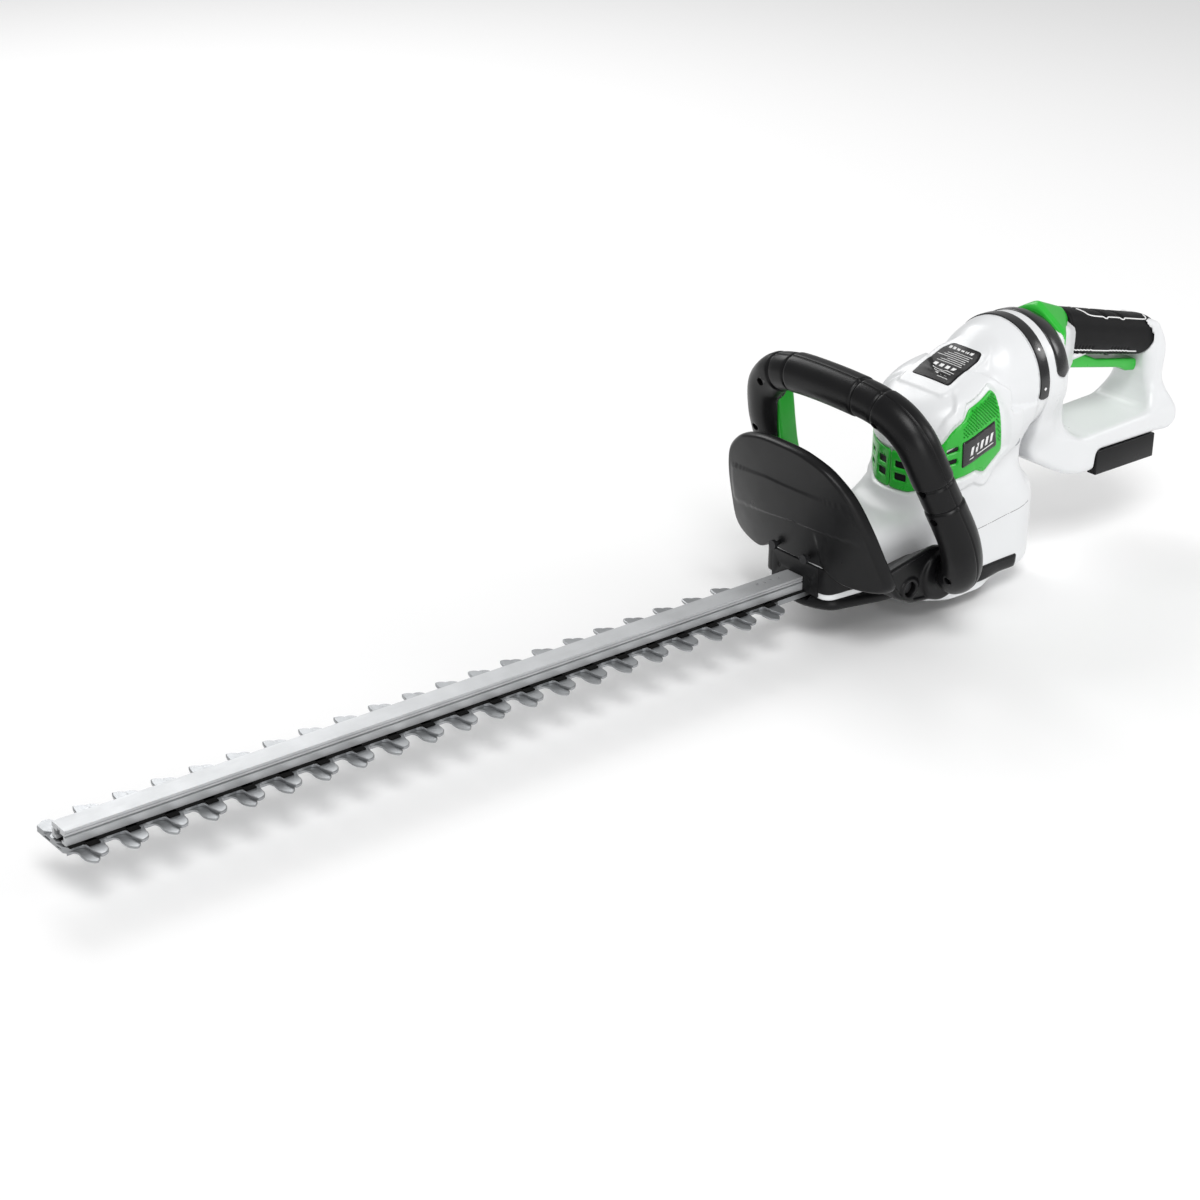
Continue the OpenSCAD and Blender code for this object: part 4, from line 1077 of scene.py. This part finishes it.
def coverField(x, y, z):
    shape = meetSmooth(outlineField(x, y, coverFlat), np.abs(z - 17.2) - 4.6, 6)
    hub = rodField(z, x + 36, y, 9.6, 15, 10, 2)
    shape = joinSmooth(shape, hub, 2)
    return cutSmooth(shape, boxField(x, y, z, (-130, -13, 18.5), (-106, 13, 30), 0.5), 0.8)


addPiece("bottom_cover_moulded", *meshField(coverField, (-122, -41, 9), (-13, 41, 23), 1.0), blackPlastic,
         "body", ("bottom_cover",), "black_plastic")


def onSide(side):
    def place(x, z):
        return (x, side * 42, z)
    return place


partingFlat = [(-30, 38.4), (11.5, 43), (67, 49), (67, 49.7), (11.5, 43.7), (-30, 39.1)]
for side, name in ((-1, "left"), (1, "right")):
    line = skinPatch(housingField, partingFlat, onSide(side), -0.3, 0.04, 2, (), 0.15)
    addPiece("parting_line_" + name, *line, seamGrey)
stripFlat = roundCorners([(10, 3.6), (10, 14.4), (50, 15), (50.5, 3.6)], 1.5, 3)
for side, name in ((-1, "left"), (1, "right")):
    strip = skinPatch(housingField, stripFlat, onSide(side), -0.4, 0.9, 1.8)
    addPiece("base_strip_" + name + "_inlay", *strip, blackPlastic, "body", ("base_strip_" + name,),
             "black_plastic")
edgedCopy("mount_block", 0.8, blackPlastic, "body", 3)
print("brackets and covers")


# safety lever in the far leg of the front handle, and its slot

lever = {"half": 7.4, "inner": -4.5, "outer": 5.0}
leverPath = [(-80.6, 62, 136.5), (-78.5, 62.4, 131), (-75.2, 64, 122), (-70, 67, 105), (-64.5, 70, 89),
             (-59.5, 72, 77), (-56.5, 72.5, 69.5)]


def leverPart(grow, outward):
    path = evenly(catmull(leverPath, 6), 26, False)
    tangent = np.gradient(path, axis=0)
    tangent /= np.linalg.norm(tangent, axis=1)[:, None]
    side = np.cross(leanNormal, tangent)
    side *= np.sign(side[:, 1])[:, None]
    h, a, b = lever["half"] + grow, lever["inner"] - grow, lever["outer"] + outward
    section = roundCorners([(-h, a), (h, a), (h, b), (-h, b)], 2.0, 3)
    rings = []
    for k in range(len(path)):
        scale = 1 if 0 < k < len(path) - 1 else 0.86
        rings.append([path[k] + leanNormal * u * scale + side[k] * v * scale for u, v in section])
    return sweepRings(rings)


tidyNormals(addPiece("safety_lever_shape", *leverPart(0, 0), greenPlastic, "front_lever",
                     ("safety_lever",), "green_plastic"))
slotCutter = tidyNormals(addCutter(leverPart(0.9, 6)))
slotCut = handleTube.modifiers.new("slot", "BOOLEAN")
slotCut.operation = "DIFFERENCE"
slotCut.object = slotCutter
slotCut.solver = "EXACT"
bakeModifiers(handleTube)
bpy.data.objects.remove(slotCutter)
print("lever")


# swivel: index ring with its marks, and the rear handle

swivel = {"axisZ": 130.0}


# (x, r) points turned about the swivel's axis, reach degrees each way
def lathe(profile, reach=180.0, count=144):
    rings = []
    for a in np.radians(np.linspace(-reach, reach, count)):
        rings.append([(x, r * math.sin(a), swivel["axisZ"] + r * math.cos(a)) for x, r in profile])
    return sweepRings(rings, True, reach < 180)


def arcBand(start, end, radii, low, reach, tip):  # a band round the top of the swivel with rounded ends
    stops = np.linspace(0, 1, 13)
    angles = np.concatenate([-reach + tip * (1 - np.cos(stops * math.pi / 2)),
                             np.linspace(tip - reach, reach - tip, 60)[1:-1],
                             reach - tip * (1 - np.cos(stops[::-1] * math.pi / 2))])
    rings = []
    for a in angles:
        near = np.clip((reach - abs(a)) / tip, 0.02, 1)
        wide = math.sqrt(1 - (1 - near) ** 2)
        mid, half = (start + end) / 2, (end - start) / 2 * wide
        xs = mid + half * np.array([-1, -1, -0.93, -0.6, 0, 0.6, 0.93, 1, 1])
        rs = np.interp(xs, *radii) + np.array([low, -0.5, 0, 0.15, 0.2, 0.15, 0, -0.5, low])
        t = math.radians(a)
        rings.append([(x, r * math.sin(t), swivel["axisZ"] + r * math.cos(t)) for x, r in zip(xs, rs)])
    return sweepRings(rings)


whiteRing = [(57.15, 30), (57.15, 39.6), (57.6, 40.0), (65.6, 40.0), (66.05, 39.6), (66.05, 30)]
tidyNormals(flatShade(addPiece("swivel_collar", *lathe(whiteRing), whiteShell), 50))
ringArc = arcBand(57.2, 65.9, ([50, 70], [40.55, 40.55]), -2, 100.6, 2.5)
indexRing = tidyNormals(addPiece("index_ring_turned", *ringArc, blackGloss, "body", ("index_ring",),
                                 "black_plastic"))
flatShade(indexRing, 50)
markAngles = np.radians([-90, -52, 52, 90])
markFacing = np.array([(0, math.sin(a), math.cos(a)) for a in markAngles])
growPiece("index_marks", "studs", (markFacing * 40.75 + (61.5, 0, swivel["axisZ"]), []),
          {"Radius": 1.3 * mm, "Height": 0.3 * mm}, whiteMark, "body", markFacing)

rear = {"footHalf": 27.0, "cell": 1.1}
rearOuter = roundCorners([
    (66.6, 150), (66.6, 95), (68.5, 79), (73, 71.5), (90, 61.5), (107, 53), (121, 49.5), (136.5, 49.5),
    (138, 63.2),
    (199, 63), (213, 61.8), (220.5, 67.5), (220, 76), (212.5, 91), (210.5, 103), (212.4, 119), (210.5, 127),
    (206, 134.5), (201.5, 141.5), (190, 143), (150, 147), (112, 156), (100, 160)
], 4, 4)
rearWindow = roundCorners([
    (104, 91), (103.5, 109), (108, 126), (150, 130), (194, 121), (195, 106.5), (197, 93), (191.5, 79.6),
    (120, 76.2), (108, 85)
], 8, 4)


grip = {"halfW": 15.6, "piping": 0.5}


def gripField(x, y, z):
    mid = 148.2 - (x - 115) * 0.236
    halfH = 16.2 - (x - 118) * 0.022
    across = (np.abs(y / grip["halfW"]) ** 2.5 + np.abs((z - mid) / halfH) ** 2.5) ** 0.4
    shape = (across - 1) * 14.5
    top = fall(np.abs(y), 9.5, 11.5) * fall(mid - z, -4, -1)
    for at in (151, 170):
        shape = shape + 2.2 * np.exp(-((x - at - 0.3 * (z - 150)) / 1.5) ** 2) * top
    ribs = 0.5 + 0.5 * np.cos(x * 2 * math.pi / 3.4)
    low = fall(np.abs(z - mid + 9.5), 2.5, 3.5) * fall(-np.abs(y), -10, -8)
    rows = fall(np.abs(x - 128), 9, 10) + fall(np.abs(x - 165), 9, 10)
    shape = shape + 0.6 * ribs * low * rows
    front = 111.5 + ((z - 148) / 16) ** 2 * 3 - x
    back = x - 204 + np.maximum(132.5 - z, 0) * 0.685
    return meetSmooth(meetSmooth(shape, front, 2.5), back, 2.5)


def rearField(x, y, z):
    out = np.abs(y)
    profile = cutSmooth(outlineField(x, z, rearOuter), outlineField(x, z, rearWindow), 2)
    upper = np.interp(x, [66, 84, 104, 114, 120, 190, 201, 220], [34, 30, 22, 17, 12, 12, 18.5, 19])
    rise = np.clip((z - 76) / 24, 0, 1)
    half = rear["footHalf"] + (upper - rear["footHalf"]) * rise * rise * (3 - 2 * rise)
    loop = meetSmooth(profile, out - half, 5)
    taper = np.interp(x, [60, 73, 80, 84, 88], [40, 40, 39.3, 37.7, 36.9])
    hub = meetSmooth((np.hypot(y, z - 130) - taper) * 0.97, np.abs(x - 74) - 14, 1.4)
    neck = capsuleField(x, y, z, (80, 0, 131), (106, 0, 147.5), 36.3, 15.5)
    neck = meetSmooth(neck, 68 - x, 2)
    shape = joinSmooth(joinSmooth(hub, neck, 5), loop, 6)
    rim = np.hypot(y, z - 130) - taper - 0.2 - 2 * np.maximum(x - 88, 0) - 1.7 * np.maximum(126 - z, 0)
    shape = np.maximum(meetSmooth(shape, rim, 1), 0.3 - gripField(x, y, z))
    return meetSmooth(shape, 66.45 - x, 1.2)


part = meshField(rearField, (65, -42, 47), (223, 42, 172), rear["cell"])
addPiece("rear_handle_shell", *part, whiteShell, "rear_handle", ("rear_handle_left", "rear_handle_right"),
         "white_shell")


ringBand = arcBand(73.2, 87.0, ([72, 73, 80, 84, 88], [40.5, 40.5, 40.1, 38.7, 37.9]), -3, 84.0, 8.0)
addPiece("ring_band_moulded", *ringBand, blackGloss, "rear_handle", ("ring_band",), "black_plastic")
flatShade(tidyNormals(bpy.data.objects["ring_band_moulded"]), 50)

triggerRoom = [(108, 118), (108, 144), (196, 127), (196, 96)]


def sleeveField(x, y, z):  # the grip with room for the trigger to rise
    room = np.maximum(outlineField(x, z, triggerRoom), np.abs(y) - 8.6)
    return np.maximum(gripField(x, y, z), -room)


part = meshField(sleeveField, (109, -18, 108), (207, 18, 168), 0.9)
addPiece("rubber_grip_moulded", *part, blackRubber, "rear_handle", ("rubber_grip",), "grip_rubber")


def pipingPart(points, radius):
    path = settle(gripField, evenly(catmull(points, 8), 70, False), 0.05, 6, 3)
    tangent = np.gradient(path, axis=0)
    tangent /= np.linalg.norm(tangent, axis=1)[:, None]
    up = fieldSlope(gripField, path)
    side = np.cross(up, tangent)
    side /= np.linalg.norm(side, axis=1)[:, None]
    up = np.cross(tangent, side)
    angles = np.linspace(0, 2 * math.pi, 10, endpoint=False)
    rings = []
    for k in range(len(path)):
        rings.append([path[k] + (side[k] * math.cos(a) + up[k] * math.sin(a)) * radius for a in angles])
    return sweepRings(rings)


gripLines = [
    [(131, 2, 164), (133, 7, 160), (138, 10.5, 157), (165, 10.5, 150), (190, 10.5, 144), (196, 9, 142),
     (199, 4, 143.5)],
    [(119, 13.5, 136.5), (150, 13.5, 129.5), (184, 13.5, 121.5)]
]
pipes = []
for side in (-1, 1):
    for line in gripLines:
        pipes.append(pipingPart([(x, side * y, z) for x, y, z in line], grip["piping"]))
tidyNormals(addPiece("grip_piping", *joined(pipes), whiteMark, "rear_handle"))
edgedCopy("trigger", 1.6, greenPlastic, "trigger_arm", 4)


def lockField(x, y, z):  # a saddle with a sloping roof, pointed at each side
    out = np.abs(y)
    front = 88.9 - x
    behind = (x + 1.18 * np.maximum(out - 6, 0) - 118) / 1.4
    roof = z - 173.7 + 0.385 * np.maximum(x - 94, 0) + 0.7 * np.maximum(94 - x, 0)
    slope = (z - 173.7 + 0.385 * np.maximum(x - 94, 0) + 0.6 * np.maximum(out - 1, 0)) / 1.17
    shape = meetSmooth(meetSmooth(front, behind, 2.5), meetSmooth(roof, slope, 2.5), 2.5)
    springRoom = np.maximum(np.hypot(x - 101, y) - 5.4, z - 156)
    return np.maximum(np.maximum(shape, 150 - z), -springRoom)


addPiece("lock_button_moulded", *meshField(lockField, (87, -34, 149), (120, 34, 175), 0.8), greenPlastic,
         "lock",
         ("lock_button",), "green_plastic")
edgedCopy("battery_foot", 0.8, blackPlastic, "rear_handle", 3)
print("rear handle")


# camera, floor and light

view = {"place": (-1.1609, -1.0874, 0.7200), "azimuth": -39.06, "elevation": 25.24, "roll": 0.70,
        "lens": 77.27}


def addCamera():
    azimuth, elevation, roll = (math.radians(view[k]) for k in ("azimuth", "elevation", "roll"))
    back = Vector((math.sin(azimuth) * math.cos(elevation), -math.cos(azimuth) * math.cos(elevation),
                   math.sin(elevation)))
    right = Vector((0, 0, 1)).cross(back).normalized()
    up = back.cross(right)
    turned = (math.cos(roll) * right + math.sin(roll) * up, math.cos(roll) * up - math.sin(roll) * right,
              back)
    camera = bpy.data.objects.new("camera", bpy.data.cameras.new("camera"))
    scene.collection.objects.link(camera)
    matrix = Matrix(turned).transposed().to_4x4()
    matrix.translation = Vector(view["place"])
    camera.matrix_world = matrix
    camera.data.lens = view["lens"]
    camera.data.sensor_width = 36
    camera.data.clip_start = 0.02
    scene.camera = camera


def addLight(name, place, target, size, power):
    light = bpy.data.lights.new(name, "AREA")
    light.size = size
    light.energy = power
    obj = bpy.data.objects.new(name, light)
    obj.location = place
    obj.rotation_euler = (Vector(place) - Vector(target)).to_track_quat("Z", "Y").to_euler()
    scene.collection.objects.link(obj)
    return obj


def addFloor(z):
    material, tree, shader = newMaterial("floor")
    shader.inputs["Base Color"].default_value = (0.96, 0.96, 0.96, 1)
    shader.inputs["Roughness"].default_value = 0.9
    bpy.ops.mesh.primitive_plane_add(size=30, location=(0, 0, z))
    floor = bpy.context.object
    floor.name = "floor"
    floor.data.materials.append(material)


scene.view_settings.view_transform = "Standard"
world = bpy.data.worlds.new("studio")
scene.world = world
world.use_nodes = True
world.node_tree.nodes["Background"].inputs[0].default_value = (1, 1, 1, 1)
world.node_tree.nodes["Background"].inputs[1].default_value = 0.42
addCamera()
addFloor(-0.012)
addLight("key", (-1.5, -2.0, 3.4), (-0.2, 0, 0.05), 1.7, 84)
addLight("front", (-1.3, -2.6, 0.9), (-0.2, 0, 0.06), 1.4, 20)
addLight("side", (1.4, -0.9, 1.0), (0, 0, 0.08), 0.6, 5)
addLight("rim", (0.2, 1.6, 1.4), (-0.1, 0, 0.05), 1.0, 14)
